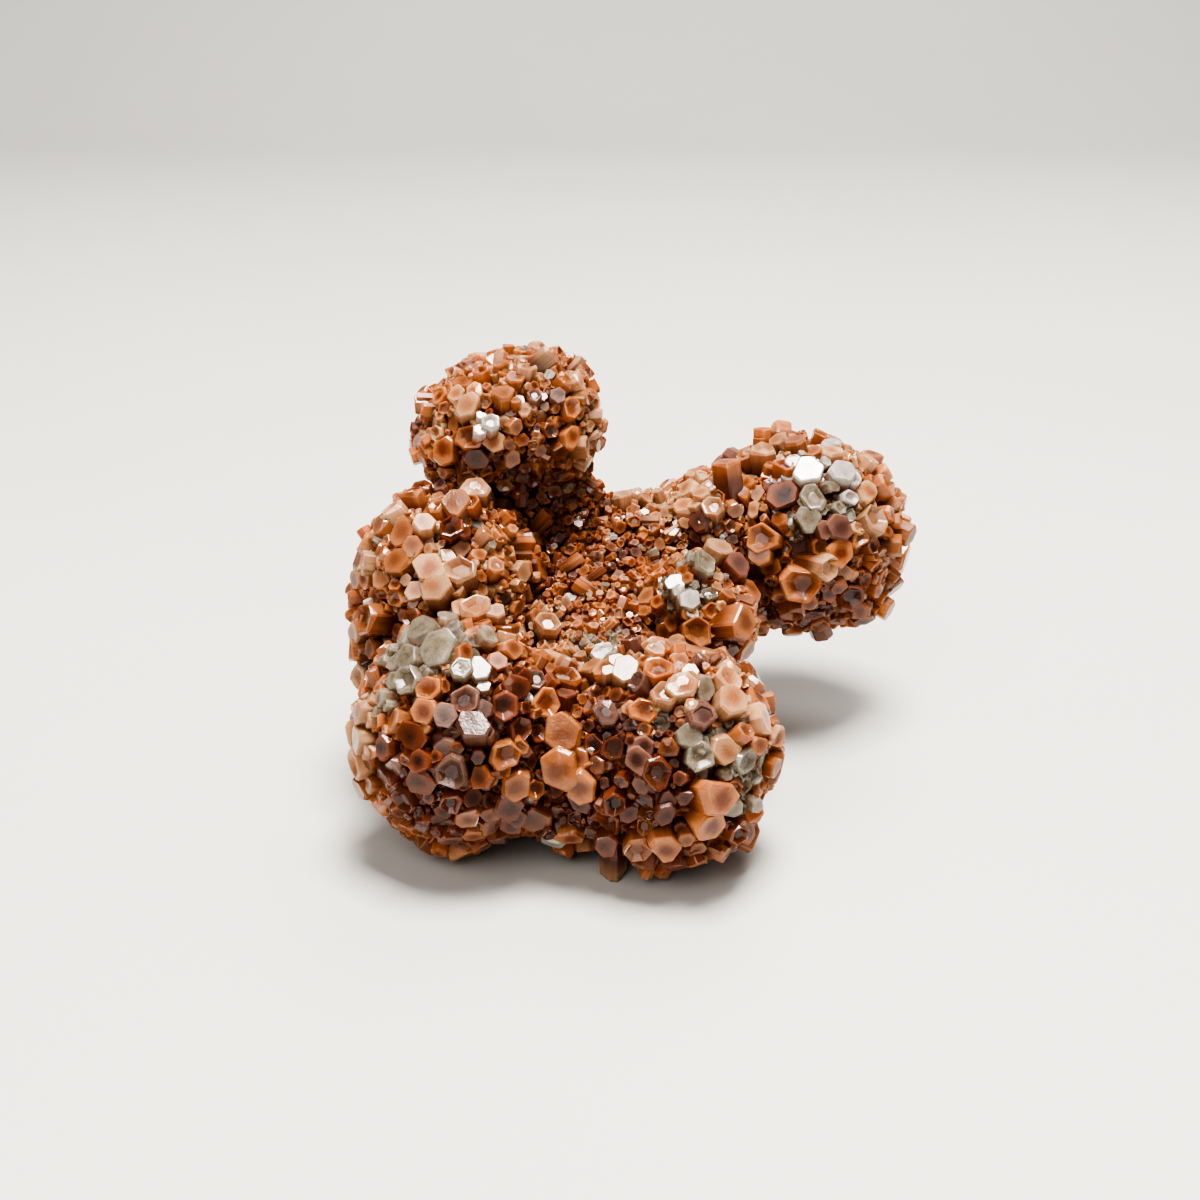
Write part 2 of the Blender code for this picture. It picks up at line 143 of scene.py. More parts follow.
KEY_CRYSTALS = [
    # the top lump
    (553, 354, 4.2, 2.0, (0.75, 0.65, 0.1), "peach"),
    (581, 380, 3.8, 2.0, (0.9, 0.35, 0.3), "peach"),
    (589, 397, 3.4, 1.5, (0.95, -0.1, 0.2), "amber"),
    (588, 447, 4.0, 1.5, (1.0, 0.0, 0.15), "peach"),
    (588, 466, 3.6, 1.5, (0.85, -0.5, 0.1), "peach"),
    (566, 378, 3.6, 1.6, (0.5, 0.6, 0.6), "amber"),
    (535, 395, 2.9, 1.6, (0.1, 0.45, 0.9), "smoky"),
    (559, 394, 3.0, 1.4, (0.2, 0.3, 0.9), "smoky"),
    (528, 366, 3.6, 1.5, (0.2, 0.8, 0.5), "peach"),
    (456, 393, 3.2, 1.6, (-0.2, 0.4, 0.9), "peach"),
    (438, 395, 3.6, 1.6, (-0.6, 0.4, 0.7), "amber"),
    (420, 411, 3.4, 1.4, (-1.0, 0.1, 0.2), "amber"),
    (466, 405, 5.0, 3.0, (-0.1, 0.35, 0.9), "peach"),
    (470, 437, 5.2, 2.2, (-0.1, -0.1, 1.0), "amber"),
    (491, 420, 3.6, 2.4, (0.15, 0.5, 0.8), "frost"),
    (494, 442, 3.8, 1.4, (0.1, 0.0, 1.0), "peach"),
    (443, 450, 5.0, 2.0, (-0.4, -0.1, 0.9), "amber"),
    (476, 459, 4.6, 1.6, (0.0, -0.35, 0.9), "brown"),
    (504, 392, 3.9, 2.4, (0.0, 0.65, 0.75), "amber"),
    (515, 376, 3.6, 1.5, (0.1, 0.7, 0.7), "amber"),
    (480, 369, 3.4, 1.4, (-0.2, 0.8, 0.6), "amber"),
    (422, 452, 3.2, 1.4, (-0.8, -0.5, 0.3), "amber"),
    (574, 407, 4.0, 1.4, (0.5, 0.2, 0.8), "amber"),
    (573, 437, 4.0, 1.6, (0.6, 0.0, 0.8), "amber"),
    # the left shoulder
    (475, 486, 5.4, 2.4, (0.1, 0.6, 0.8), "peach"),
    (455, 501, 5.8, 2.6, (-0.1, 0.5, 0.8), "amber"),
    (451, 527, 4.6, 1.8, (0.1, 0.3, 0.9), "brown"),
    (411, 490, 4.4, 2.0, (-0.3, 0.9, 0.3), "amber"),
    (389, 508, 5.0, 1.8, (-0.6, 0.75, 0.3), "peach"),
    (378, 524, 4.6, 1.6, (-0.8, 0.4, 0.5), "amber"),
    (424, 522, 4.4, 2.2, (0.0, 0.6, 0.8), "peach"),
    (413, 545, 4.2, 1.6, (-0.2, 0.3, 0.9), "amber"),
    (396, 560, 5.4, 1.8, (-0.5, 0.4, 0.8), "amber"),
    (428, 568, 5.6, 2.2, (-0.2, 0.3, 0.9), "peach"),
    (458, 567, 6.2, 2.6, (-0.05, 0.62, 0.8), "peach"),
    (434, 586, 5.4, 4.0, (-0.3, 0.75, 0.55), "peach"),
    (361, 561, 3.6, 1.4, (-1.0, 0.2, 0.3), "peach"),
    (362, 618, 6.4, 3.0, (-0.8, 0.1, 0.6), "amber"),
    (352, 634, 4.2, 1.5, (-0.8, -0.2, 0.5), "peach"),
    (356, 676, 4.6, 2.0, (-0.85, -0.1, 0.6), "peach"),
    (367, 662, 4.2, 1.2, (-0.6, 0.0, 0.8), "brown"),
    # the front left lump
    (475, 604, 6.0, 2.4, (0.0, 0.75, 0.7), "peach"),
    (548, 621, 4.8, 2.2, (0.15, 0.55, 0.8), "peach"),
    (419, 627, 6.2, 2.0, (-0.5, 0.6, 0.6), "clear"),
    (436, 645, 6.6, 1.6, (-0.3, 0.45, 0.8), "clear"),
    (404, 658, 4.6, 1.6, (-0.7, 0.3, 0.7), "clear"),
    (404, 680, 5.2, 1.6, (-0.6, 0.2, 0.8), "clear"),
    (460, 667, 4.0, 2.2, (0.0, 0.5, 0.85), "clear"),
    (480, 668, 4.4, 1.8, (0.1, 0.5, 0.85), "clear"),
    (465, 701, 5.2, 2.0, (0.0, 0.1, 1.0), "smoky"),
    (472, 723, 5.6, 2.6, (0.0, 0.5, 0.85), "smoky"),
    (444, 716, 4.2, 1.6, (-0.1, 0.1, 1.0), "smoky"),
    (423, 712, 4.4, 1.6, (-0.3, 0.1, 0.95), "amber"),
    (427, 688, 4.2, 1.6, (-0.3, 0.3, 0.9), "amber"),
    (505, 706, 4.4, 1.8, (0.15, 0.0, 1.0), "brown"),
    (518, 687, 4.4, 1.6, (0.2, 0.1, 1.0), "brown"),
    (548, 703, 4.8, 2.0, (0.35, 0.05, 0.9), "amber"),
    (536, 678, 3.4, 1.8, (0.1, 0.45, 0.85), "smoky"),
    (357, 712, 4.8, 1.6, (-0.95, 0.1, 0.4), "peach"),
    (355, 740, 5.0, 1.6, (-1.0, 0.0, 0.4), "peach"),
    (352, 765, 5.6, 1.8, (-0.95, -0.25, 0.4), "peach"),
    (410, 736, 5.0, 1.8, (-0.3, -0.05, 0.95), "brown"),
    (382, 748, 4.6, 1.4, (-0.6, -0.1, 0.8), "brown"),
    (451, 773, 5.8, 1.8, (-0.1, -0.3, 0.95), "smoky"),
    (505, 757, 5.4, 2.2, (0.15, -0.2, 0.95), "amber"),
    (516, 788, 5.6, 2.0, (0.2, -0.35, 0.9), "amber"),
    (419, 782, 5.0, 1.4, (-0.3, -0.35, 0.9), "brown"),
    (450, 806, 4.0, 1.6, (-0.05, -0.5, 0.85), "brown"),
    (510, 810, 5.2, 1.4, (0.2, -0.5, 0.85), "brown"),
    # the front right lump
    (562, 735, 6.6, 2.6, (-0.2, 0.05, 1.0), "amber"),
    (558, 770, 6.4, 2.8, (-0.25, -0.15, 0.95), "amber"),
    (580, 789, 5.2, 2.0, (-0.15, -0.3, 0.95), "amber"),
    (604, 846, 4.6, 1.8, (-0.2, -0.5, 0.8), "brown"),
    (639, 853, 5.2, 2.0, (-0.05, -0.6, 0.8), "amber"),
    (667, 850, 5.6, 2.2, (0.15, -0.6, 0.8), "amber"),
    (722, 798, 6.8, 2.8, (0.55, -0.1, 0.8), "amber"),
    (712, 828, 5.2, 2.0, (0.5, -0.5, 0.7), "amber"),
    (638, 761, 4.8, 2.2, (0.0, -0.1, 1.0), "smoky"),
    (659, 774, 4.8, 2.0, (0.1, -0.2, 1.0), "brown"),
    (613, 806, 4.4, 1.4, (-0.1, -0.4, 0.9), "brown"),
    (666, 816, 4.2, 1.4, (0.1, -0.4, 0.9), "brown"),
    (644, 710, 4.4, 1.8, (0.0, 0.2, 1.0), "amber"),
    (606, 712, 4.8, 1.8, (-0.1, 0.3, 0.95), "smoky"),
    (704, 715, 4.8, 2.4, (0.25, 0.5, 0.8), "smoky"),
    (689, 736, 4.4, 1.8, (0.25, 0.25, 0.95), "clear"),
    (666, 692, 4.8, 2.0, (0.1, 0.62, 0.78), "peach"),
    (684, 684, 5.2, 1.8, (0.1, 0.6, 0.8), "peach"),
    (659, 666, 5.0, 2.0, (0.0, 0.7, 0.7), "amber"),
    (733, 697, 5.6, 2.0, (0.4, 0.5, 0.75), "peach"),
    (766, 718, 5.2, 1.8, (0.95, 0.3, 0.35), "peach"),
    (702, 757, 5.2, 1.8, (0.25, 0.0, 0.95), "clear"),
    (727, 751, 5.2, 1.8, (0.45, 0.0, 0.9), "peach"),
    (749, 762, 4.6, 1.6, (0.75, -0.1, 0.7), "clear"),
    (626, 668, 4.8, 1.8, (0.0, 0.6, 0.8), "peach"),
    (602, 650, 4.6, 1.8, (0.0, 0.65, 0.75), "clear"),
    # the right hip and the pale neck
    (698, 631, 5.8, 2.6, (0.1, 0.05, 1.0), "amber"),
    (746, 622, 6.2, 3.4, (0.75, 0.1, 0.65), "amber"),
    (691, 599, 4.2, 1.8, (0.2, 0.5, 0.85), "clear"),
    (675, 581, 3.8, 1.4, (0.0, 0.5, 0.85), "clear"),
    (720, 545, 5.2, 2.2, (0.5, 0.3, 0.8), "peach"),
    (706, 561, 4.6, 1.8, (0.3, 0.55, 0.75), "clear"),
    (623, 493, 4.2, 1.4, (-0.1, 0.9, 0.4), "peach"),
    # the right arm
    (725, 461, 4.8, 4.5, (-0.15, 0.95, 0.35), "amber"),
    (762, 428, 4.2, 3.2, (-0.05, 0.95, 0.2), "amber"),
    (763, 448, 5.2, 2.4, (-0.1, 0.8, 0.55), "peach"),
    (745, 452, 4.4, 1.8, (-0.4, 0.7, 0.5), "amber"),
    (808, 468, 6.0, 2.2, (0.0, 0.5, 0.85), "frost"),
    (813, 496, 5.0, 1.6, (0.0, 0.35, 0.95), "clear"),
    (844, 470, 5.8, 2.2, (0.25, 0.55, 0.8), "frost"),
    (809, 518, 5.4, 1.8, (0.0, 0.1, 1.0), "clear"),
    (869, 491, 4.8, 1.6, (0.5, 0.4, 0.75), "peach"),
    (889, 484, 5.0, 1.8, (0.8, 0.5, 0.4), "amber"),
    (877, 518, 6.2, 2.4, (0.55, 0.35, 0.75), "peach"),
    (841, 528, 5.4, 1.6, (0.25, 0.1, 0.95), "smoky"),
    (761, 538, 6.0, 2.4, (-0.35, 0.1, 0.95), "amber"),
    (803, 586, 7.8, 3.0, (-0.05, -0.3, 0.95), "amber"),
    (830, 568, 5.2, 3.0, (0.6, -0.2, 0.75), "peach"),
    (842, 552, 6.2, 1.8, (0.3, 0.0, 0.95), "amber"),
    (853, 598, 5.6, 1.8, (0.3, -0.4, 0.85), "brown"),
    (890, 611, 4.4, 2.2, (0.8, -0.5, 0.35), "amber"),
    (738, 563, 5.0, 1.6, (-0.5, -0.05, 0.85), "brown"),
    (784, 494, 6.0, 1.2, (-0.1, 0.2, 1.0), "brown"),
    (714, 505, 4.4, 2.6, (-0.3, 0.8, 0.6), "peach"),
    (699, 520, 4.6, 1.8, (-0.4, 0.2, 0.9), "brown"),
    (700, 492, 4.0, 2.0, (-0.4, 0.85, 0.4), "peach"),
    (832, 450, 4.6, 1.6, (0.1, 0.85, 0.5), "peach"),
    (872, 459, 3.8, 2.0, (0.5, 0.8, 0.3), "peach"),
    (902, 546, 4.4, 1.6, (1.0, 0.0, 0.2), "amber"),
]

# The crystals that the cluster stands on: across, away, and width, all in millimetres.
FEET = [(2.8, -43.5, 5.4), (-21.5, -36.0, 5.2), (-7.5, 20.0, 5.6), (9.0, 19.0, 5.2)]

MOST_LENGTH = 17.0 * MM
CORE_DEPTH = 1.0 * MM
ROOT_MARGIN = 0.5 * MM
FLOOR_CLEARANCE = 0.05 * MM
SIDE_SHARE = (0.77, 1.07)


def seen_point(across, down, proud):
    """The point over the growth surface, proud by that height, seen at this place in the view."""
    middle = VIEW_PIXELS / 2
    way = unit(RIGHT * (across - middle) + UP * (middle - down) - TOWARDS * FOCUS_PIXELS)
    points = EYE + way * (SIGHT_START + SIGHT_STEP * np.arange(SIGHT_STEPS))[:, None]
    heights = growth(points)[0] - proud
    inside = np.flatnonzero(heights < 0)
    return points[inside[0] if len(inside) else heights.argmin()]


def root_depth(tip, out, width):
    """How long a crystal must be for its root to lie well inside the lumps, or None."""
    lengths = np.arange(1, int(MOST_LENGTH / MM)) * MM
    deep = growth(tip - out * lengths[:, None])[0] < -(0.45 * width + CORE_DEPTH + ROOT_MARGIN)
    return lengths[deep.argmax()] if deep.any() else None


def crystal(tip, out, width, draw, stone):
    """The facts of one large crystal."""
    out = unit(out)
    straight = growth(tip)[1][0]
    for share in (0.0, 0.3, 0.6, 1.0):
        out = unit(out * (1 - share) + straight * share)
        length = root_depth(tip, out, width)
        if length is not None:
            break
    flats = np.array([draw.uniform(*SIDE_SHARE) for _ in range(6)]) * width / 2
    twist = draw.uniform(0, math.pi)
    return {"tip": tip, "out": out, "flats": flats, "length": length or MOST_LENGTH,
            "twist": twist, "width": width, "stone": stone}


print(len(KEY_CRYSTALS), "key crystals")

# %% [markdown]
# ## The large crystals between them
#
# The same scatter as in the solid: darts are thrown at the lumps, and one stays where it is clear
# of its neighbours' ends. The draws come in the same order from the same seed, so each crystal
# here stands where its counterpart in the solid does.

# %% Scattered crystals
SCATTER_SEED = 11
SCATTER_TRIES = 5000
VALLEY_DEPTH = 1.5 * MM
LOWEST_TIP = 1.5 * MM
STEP_TO_VIEWER = 4.0 * MM
# A side: the most crystals, their widths and how proud they stand against the lump's usual width,
# the gap between two ends against their widths, and how much they lean.
SCATTER = {
    "front": (42, (0.85, 1.15), (0.05, 0.3), 0.84, 0.14),
    "back": (46, (1.15, 1.6), (0.05, 0.35), 0.95, 0.18),
}
USUAL_WIDTH = 5.2 * MM
SMALLER_LUMPS = {"top_low": 0.72, "top_high": 0.72, "right_neck": 0.85, "right_hip": 0.85}
FINE_LUMPS = ("heart", "saddle", "top_neck", "right_ridge")
FINE = [NAMES.index(name) for name in FINE_LUMPS]


def sides(out, twist):
    """Two directions across a crystal, turned about its length."""
    across = Vector(out).orthogonal().normalized()
    across.rotate(Matrix.Rotation(twist, 3, Vector(out)))
    return np.array(across), np.cross(out, across)


def corners(flats):
    """Corners of hexagons whose sides lie at these distances from the middle, 60 degrees apart."""
    flats = np.asarray(flats, float)
    turn = np.radians(60) * np.arange(6)
    aside = (np.roll(flats, -1, axis=-1) - flats * 0.5) / math.sin(math.radians(60))
    return np.stack([flats * np.cos(turn) - aside * np.sin(turn),
                     flats * np.sin(turn) + aside * np.cos(turn)], axis=-1)


def raised_clear(item):
    """Draws a crystal back along its length until its end is clear of the floor."""
    across, along = sides(item["out"], item["twist"])
    ring = corners(item["flats"])
    lowest = (ring[:, 0] * across[2] + ring[:, 1] * along[2]).min() + item["tip"][2]
    if lowest < FLOOR_CLEARANCE and item["out"][2] < -0.05:
        item["tip"] = item["tip"] + item["out"] * ((FLOOR_CLEARANCE - lowest) / item["out"][2])
    return item


def foot_crystals(draw):
    """Upright crystals whose flat lower ends carry the cluster."""
    made = []
    for across, away, width in FEET:
        tip = np.array((across, away, 0)) * MM - FOOTPRINT_MIDDLE
        made.append(crystal(tip, np.array((0, 0, -1.0)), width * MM, draw, "peach"))
    return made


def key_crystals(draw):
    """The crystals that are placed one by one."""
    made = []
    for across, down, width, proud, (right, up, towards), stone in KEY_CRYSTALS:
        tip = seen_point(across, down, proud * MM)
        out = RIGHT * right + UP * up + TOWARDS * towards
        made.append(raised_clear(crystal(tip, out, width * MM, draw, stone)))
    return made


def scattered_crystals(side, draw, taken):
    """Crystals over the coarse lumps on one side, each clear of its neighbours' ends."""
    most, widths, proud, gap, lean = SCATTER[side]
    spots = np.array([item["tip"] for item in taken])
    reach = np.array([item["width"] for item in taken])
    made = []
    for _ in range(SCATTER_TRIES):
        which = draw.integers(len(LUMPS))
        point = CENTRES[which] + TURNS[which] @ (unit(draw.normal(size=3)) * HALVES[which])
        height, out, nearest = (found[0] for found in growth(point))
        usual = USUAL_WIDTH * SMALLER_LUMPS.get(NAMES[nearest], 1.0)
        width = draw.uniform(*widths) * usual
        tip = point - out * (height - draw.uniform(*proud) * usual)
        out = out + draw.normal(size=3) * lean
        if height < -VALLEY_DEPTH or NAMES[nearest] in FINE_LUMPS or tip[2] < LOWEST_TIP:
            continue
        seen = growth(point + unit(EYE - point) * STEP_TO_VIEWER)[0][0] > height
        if len(made) == most or seen != (side == "front"):
            continue
        if (np.linalg.norm(spots - tip, axis=1) < gap * (width + reach) / 2).any():
            continue
        spots = np.vstack([spots, tip])
        reach = np.append(reach, width)
        made.append(raised_clear(crystal(tip, out, width, draw, None)))
    return made


draw = np.random.default_rng(SCATTER_SEED)
large = foot_crystals(draw) + key_crystals(draw)
for side in SCATTER:
    large += scattered_crystals(side, draw, large)
print(len(large), "large crystals")

# %% [markdown]
# ## Filling the gaps
#
# What is left between the large crystals is filled in passes of ever smaller ones. Each pass
# throws many darts at the growth surface and keeps those that fit. Distances are measured between
# the spots where the crystals' lengths cross the growth surface, so that a proud crystal doesn't
# push away the low ones at its foot. Neighbours may overlap a little, as intergrown crystals do.

# %% The fill
FILL_SEED = 23
FILL_GAP = 0.77
# A pass: widths against the lump's usual width, darts per crystal that the lump has room for, and
# how proud, in widths.
FILL_PASSES = [
    ((0.70, 1.08), 7, (-0.40, 0.50)),
    ((0.46, 0.70), 10, (-0.50, 0.45)),
    ((0.29, 0.46), 18, (-0.85, 0.30)),
    ((0.19, 0.29), 20, (-1.60, -0.10)),
]
# Neighbours rise and lean together: how much, and over what distance.
RELIEF = 0.36
RELIEF_REACH = 8.0 * MM
LEAN_TOGETHER = 0.45
LEAN_REACH = 10.0 * MM
LEAN_APART = 0.27
FINE_LEAN_APART = 0.42
MOST_LEAN_APART = 1.5
LUMP_WIDTHS = {
    "heart": 0.42, "saddle": 0.42, "top_neck": 0.42, "right_ridge": 0.50, "top_low": 0.58,
    "top_high": 0.58, "right_neck": 0.64, "right_hip": 0.66, "right_arm": 0.84, "front_left": 0.80,
    "front_right": 0.82, "front_middle": 0.80, "left_shoulder": 0.74, "left_hip": 0.84,
    "back_foot": 0.95,
}
USUAL_WIDTHS = USUAL_WIDTH * np.array([LUMP_WIDTHS[name] for name in NAMES])
LEAST_WIDTH = 0.80 * MM
FLOOR_GAP = 0.4 * MM
CELL = 8.0 * MM


def surface_spot(item):
    """Where a large crystal's length crosses the growth surface."""
    back = np.linspace(0.0, item["length"], 40)[:, None]
    heights = growth(item["tip"] - item["out"] * back)[0]
    below = np.flatnonzero(heights < 0)
    return item["tip"] - item["out"] * (back[below[0]] if len(below) else 0.0)


class Crowd:
    """Spots with widths, kept in a coarse grid so that near ones are found quickly."""

    def __init__(self):
        self.cells = {}

    def cell(self, spot):
        return tuple(np.floor(spot / CELL).astype(int))

    def add(self, spot, width):
        self.cells.setdefault(self.cell(spot), []).append((*spot, width))

    def clear(self, spot, width):
        """Whether a crystal fits at this spot."""
        x, y, z = self.cell(spot)
        for i in (x - 1, x, x + 1):
            for j in (y - 1, y, y + 1):
                for k in (z - 1, z, z + 1):
                    for a, b, c, other in self.cells.get((i, j, k), ()):
                        far = (a - spot[0]) ** 2 + (b - spot[1]) ** 2 + (c - spot[2]) ** 2
                        if far < (FILL_GAP * (width + other) / 2) ** 2:
                            return False
        return True


def lump_room():
    """About how many crystals of its usual width each lump has room for."""
    areas = 4 * math.pi * (HALVES[:, [0, 0, 1]] * HALVES[:, [1, 2, 2]]).mean(axis=1)
    return areas / USUAL_WIDTHS ** 2


def fill_crystals(crowd, draw):
    """Places, ways out, widths, proud heights and passes of the fill, one row per crystal."""
    kept = []
    room = lump_room()
    for number, (shares, darts, proud) in enumerate(FILL_PASSES):
        which = draw.permutation(np.repeat(np.arange(len(LUMPS)), (darts * room).astype(int)))
        ways = unit(draw.normal(size=(len(which), 3)))
        points = CENTRES[which] + np.einsum("nij,nj->ni", TURNS[which], ways * HALVES[which])
        points = points[growth(points)[0] > -VALLEY_DEPTH]
        points = onto_surface(points)
        _, outs, nearest = growth(points)
        usual = USUAL_WIDTHS[nearest]
        widths = draw.uniform(*shares, len(points)) * usual
        hills = np.array([noise.noise(spot) for spot in points / RELIEF_REACH]) * RELIEF * usual
        prouds = draw.uniform(*proud, len(points)) * widths + hills
        leans = np.array([noise.noise_vector(spot) for spot in points / LEAN_REACH]) * LEAN_TOGETHER
        apart = np.where(np.isin(nearest, FINE), FINE_LEAN_APART, LEAN_APART)
        aside = np.clip(draw.normal(size=points.shape), -MOST_LEAN_APART, MOST_LEAN_APART)
        leans = leans + aside * apart[:, None]
        for point, out, width, raised, lean in zip(points, outs, widths, prouds, leans):
            low = point[2] + out[2] * raised - 0.5 * width * math.sqrt(max(0.0, 1 - out[2] ** 2))
            if width < LEAST_WIDTH or low < FLOOR_GAP or not crowd.clear(point, width):
                continue
            crowd.add(point, width)
            kept.append((*(point + out * raised), *unit(out + lean), width, raised, number))
    return np.array(kept)


crowd = Crowd()
for item in large:
    crowd.add(surface_spot(item), item["width"])
# The noise starts from the clock unless it is given a seed.
noise.seed_set(FILL_SEED)
fill = fill_crystals(crowd, np.random.default_rng(FILL_SEED))
print(len(fill), "fill crystals")

# %% [markdown]
# ## Kinds of stone
#
# Most crystals are amber. Their shade runs from brown, at -1, to peach, at 1, and drifts from place
# to place. A few are smoky, frosted or clear. Each patch has a place, a reach and what is common
# there. A patch is set where its middle is seen, and works in space from there, so it wraps around
# its lobe.

# %% Stone of each crystal
STONES = ("amber", "smoky", "frost", "clear")
RARE = {"smoky": 0.025, "frost": 0.006, "clear": 0.012}
SHADES = {"brown": -0.9, "amber": 0.05, "peach": 0.8}
SHADE_SPREAD = 0.34
FINE_SHADE = -0.2

# Across, down, reach in millimetres, what is common, and how much of the patch it takes.
PATCHES = [
    # the front left lump: clear and pale on top, frosted in the middle, dark below, where the brown of
    # the lower front is partly the stone's own and partly painted shade
    (425, 640, 8.5, "clear", 0.7), (400, 668, 6.0, "clear", 0.65), (472, 606, 5.5, "peach", 1.0),
    (515, 632, 10.0, "peach", 0.7), (470, 660, 6.0, "clear", 0.45), (462, 700, 6.0, "smoky", 0.35),
    (560, 650, 7.0, "peach", 0.6), (460, 800, 17.0, "brown", 1.0), (545, 780, 14.0, "brown", 0.95),
    # the front right lump: pale at its right and on top, and dark below, where the brown is partly the
    # stone's own and partly painted shade
    (735, 745, 9.0, "clear", 0.6), (755, 790, 6.5, "clear", 0.5), (715, 765, 6.0, "peach", 0.7),
    (605, 655, 6.0, "clear", 0.5), (650, 660, 9.0, "peach", 0.6), (700, 690, 8.0, "peach", 0.5),
    (620, 700, 8.0, "smoky", 0.2), (620, 800, 18.0, "brown", 1.0), (690, 840, 10.0, "brown", 0.6),
    # the right hip, the ridge and the saddle
    (690, 572, 7.0, "clear", 0.6), (702, 548, 7.0, "frost", 0.35), (655, 503, 8.0, "peach", 1.0),
    (704, 482, 6.0, "peach", 0.8), (640, 612, 8.0, "amber", 0.9), (560, 480, 12.0, "brown", 0.5),
    (575, 540, 13.0, "smoky", 0.22), (505, 455, 7.0, "smoky", 0.2),
    # the right arm
    (822, 478, 8.0, "frost", 0.8), (815, 512, 6.5, "clear", 0.75), (862, 500, 6.5, "peach", 0.8),
    (760, 456, 7.0, "peach", 0.7), (790, 600, 13.0, "brown", 0.7), (880, 600, 10.0, "brown", 0.4),
    # the left shoulder and the top lump; the wide, faint peach patch over the top lump is painted
    # light, a paler top where the light falls
    (372, 560, 7.0, "peach", 0.5), (358, 722, 9.0, "peach", 0.6), (450, 572, 8.0, "peach", 0.6),
    (420, 530, 9.0, "peach", 0.35), (555, 382, 8.0, "peach", 0.5), (590, 432, 7.0, "peach", 0.8),
    (520, 460, 7.0, "brown", 0.5), (480, 360, 8.0, "peach", 0.35), (505, 400, 15.0, "peach", 0.25),
]
# The same for the side that isn't seen: across, away and up in millimetres.
BACK_PATCHES = [
    ((46, 36, 46), 9.0, "frost", 0.5), ((-30, 2, 44), 8.0, "peach", 0.7),
    ((-12, 22, 66), 8.0, "peach", 0.6), ((4, 31, 18), 8.0, "clear", 0.5),
    ((54, 14, 30), 7.0, "peach", 0.6), ((-40, -18, 16), 8.0, "smoky", 0.3),
    ((30, 36, 24), 13.0, "brown", 0.7), ((-10, 28, 6), 12.0, "brown", 0.7),
]


def patch_list():
    """The middle, the reach, what is common and its share, for each patch."""
    seen = [(seen_point(across, down, 0.0), reach, kind, share)
            for across, down, reach, kind, share in PATCHES]
    return seen + [(np.array(place) * MM - FOOTPRINT_MIDDLE, reach, kind, share)
                   for place, reach, kind, share in BACK_PATCHES]


def pick_stones(tips, fine, draw):
    """The kind of stone of each crystal, as an index into STONES, and its shade."""
    chance = np.tile([1 - sum(RARE.values()), *RARE.values()], (len(tips), 1))
    shade = np.where(fine, FINE_SHADE, 0.0)
    for middle, reach, kind, share in patch_list():
        far = np.linalg.norm(tips - middle, axis=1) / (reach * MM)
        pull = share * np.exp(-far ** 4)
        if kind in SHADES:
            shade += (SHADES[kind] - shade) * pull
        else:
            chance += (np.eye(len(STONES))[STONES.index(kind)] - chance) * pull[:, None]
    total = np.cumsum(chance, axis=1)
    pick = draw.uniform(size=len(tips)) * total[:, -1]
    shade = shade + draw.normal(size=len(tips)) * SHADE_SPREAD
    return (total < pick[:, None]).sum(axis=1), np.clip(shade, -1, 1)


# %% [markdown]
# ## From facts to facets
#
# A crystal is a stack of rings: root, middle, the start of the small bevel, the rim, and two rings
# inside the end face. The inner rings make the end flat, dished, stepped or slightly raised, and
# some corners are chipped, so that each end catches the light in its own way. Large crystals get
# twelve-sided rings, which bevel their long edges too, and often a smaller companion grown
# parallel to them. Small ones do without the middle ring.

# %% Crystal shapes
SHAPE_SEED = 5
# How often a large crystal, or one of the first pass, has each of its two companions, how far
# aside, how large and how much lower they are against its width, their least length, and how high
# up a crystal has to be to have any.
COMPANION_SHARE = {0: 0.62, 1: 0.40}
COMPANION_ASIDE = (0.38, 0.62)
COMPANION_SIZE = (0.42, 0.74)
COMPANION_DROP = (0.06, 0.45)
COMPANION_LENGTH = 2.0 * MM
COMPANION_HEIGHT = 3.0 * MM
FILL_SIDE_SHARE = (0.72, 1.10)
FILL_ROOT = 3.4 * MM
# How much longer one way an outline may be, how much an end face tilts and shifts, and how far a
# chip may reach in, as a share of the outline, and down for that, in widths.
STRETCH = 0.14
END_TILT = 0.07
END_SHIFT = 0.05
CHIP = 0.16
CHIP_DEPTH = 1.2
# Outlines against the full one, the middle ring's depth against the length, the bevel of the end
# against the width, and the bevel of a corner against the side.
ROOT_SHARE = 0.88
BODY_SHARE = 0.985
INNER_SHARE = 0.9
INNER_GAP = 0.03
MIDDLE_DEPTH = 0.42
BEVEL = 0.045
CORNER_BEVEL = 0.085
END_SHAPES = {
    # The outer and the inner ring on the end face: share of the outline, and rise in widths.
    "flat": ((0.80, 0.0), (0.74, 0.0)),
    "dished": ((0.88, -0.01), (0.46, -0.17)),
    "stepped": ((0.76, 0.0), (0.70, -0.07)),
    "raised": ((0.90, 0.01), (0.40, 0.06)),
}
END_CHANCE = (0.55, 0.29, 0.04, 0.12)


def stretched(flats, draw):
    """Side distances of a hexagon that is a little longer one way than the other."""
    turn = draw.uniform(0, math.pi)
    return flats * (1 + draw.uniform(0, STRETCH) * np.cos(2 * (np.radians(60) * np.arange(6) - turn)))


def companions(row, draw):
    """Smaller crystals grown parallel to this one and partly out of it."""
    tip, out, across, along, flats, length, width, stone, level = row
    made = []
    for _ in range(2):
        turn = draw.uniform(0, 2 * math.pi)
        aside = draw.uniform(*COMPANION_ASIDE) * width
        size = draw.uniform(*COMPANION_SIZE)
        drop = draw.uniform(*COMPANION_DROP) * width
        shape = draw.uniform(*FILL_SIDE_SHARE, 6)
        move = (across * math.cos(turn) + along * math.sin(turn)) * aside - out * drop
        if draw.uniform() < COMPANION_SHARE[level]:
            made.append((tip + move, out, across, along, shape * size * width / 2,
                         max(length - drop, COMPANION_LENGTH), size * width, stone, level))
    return made


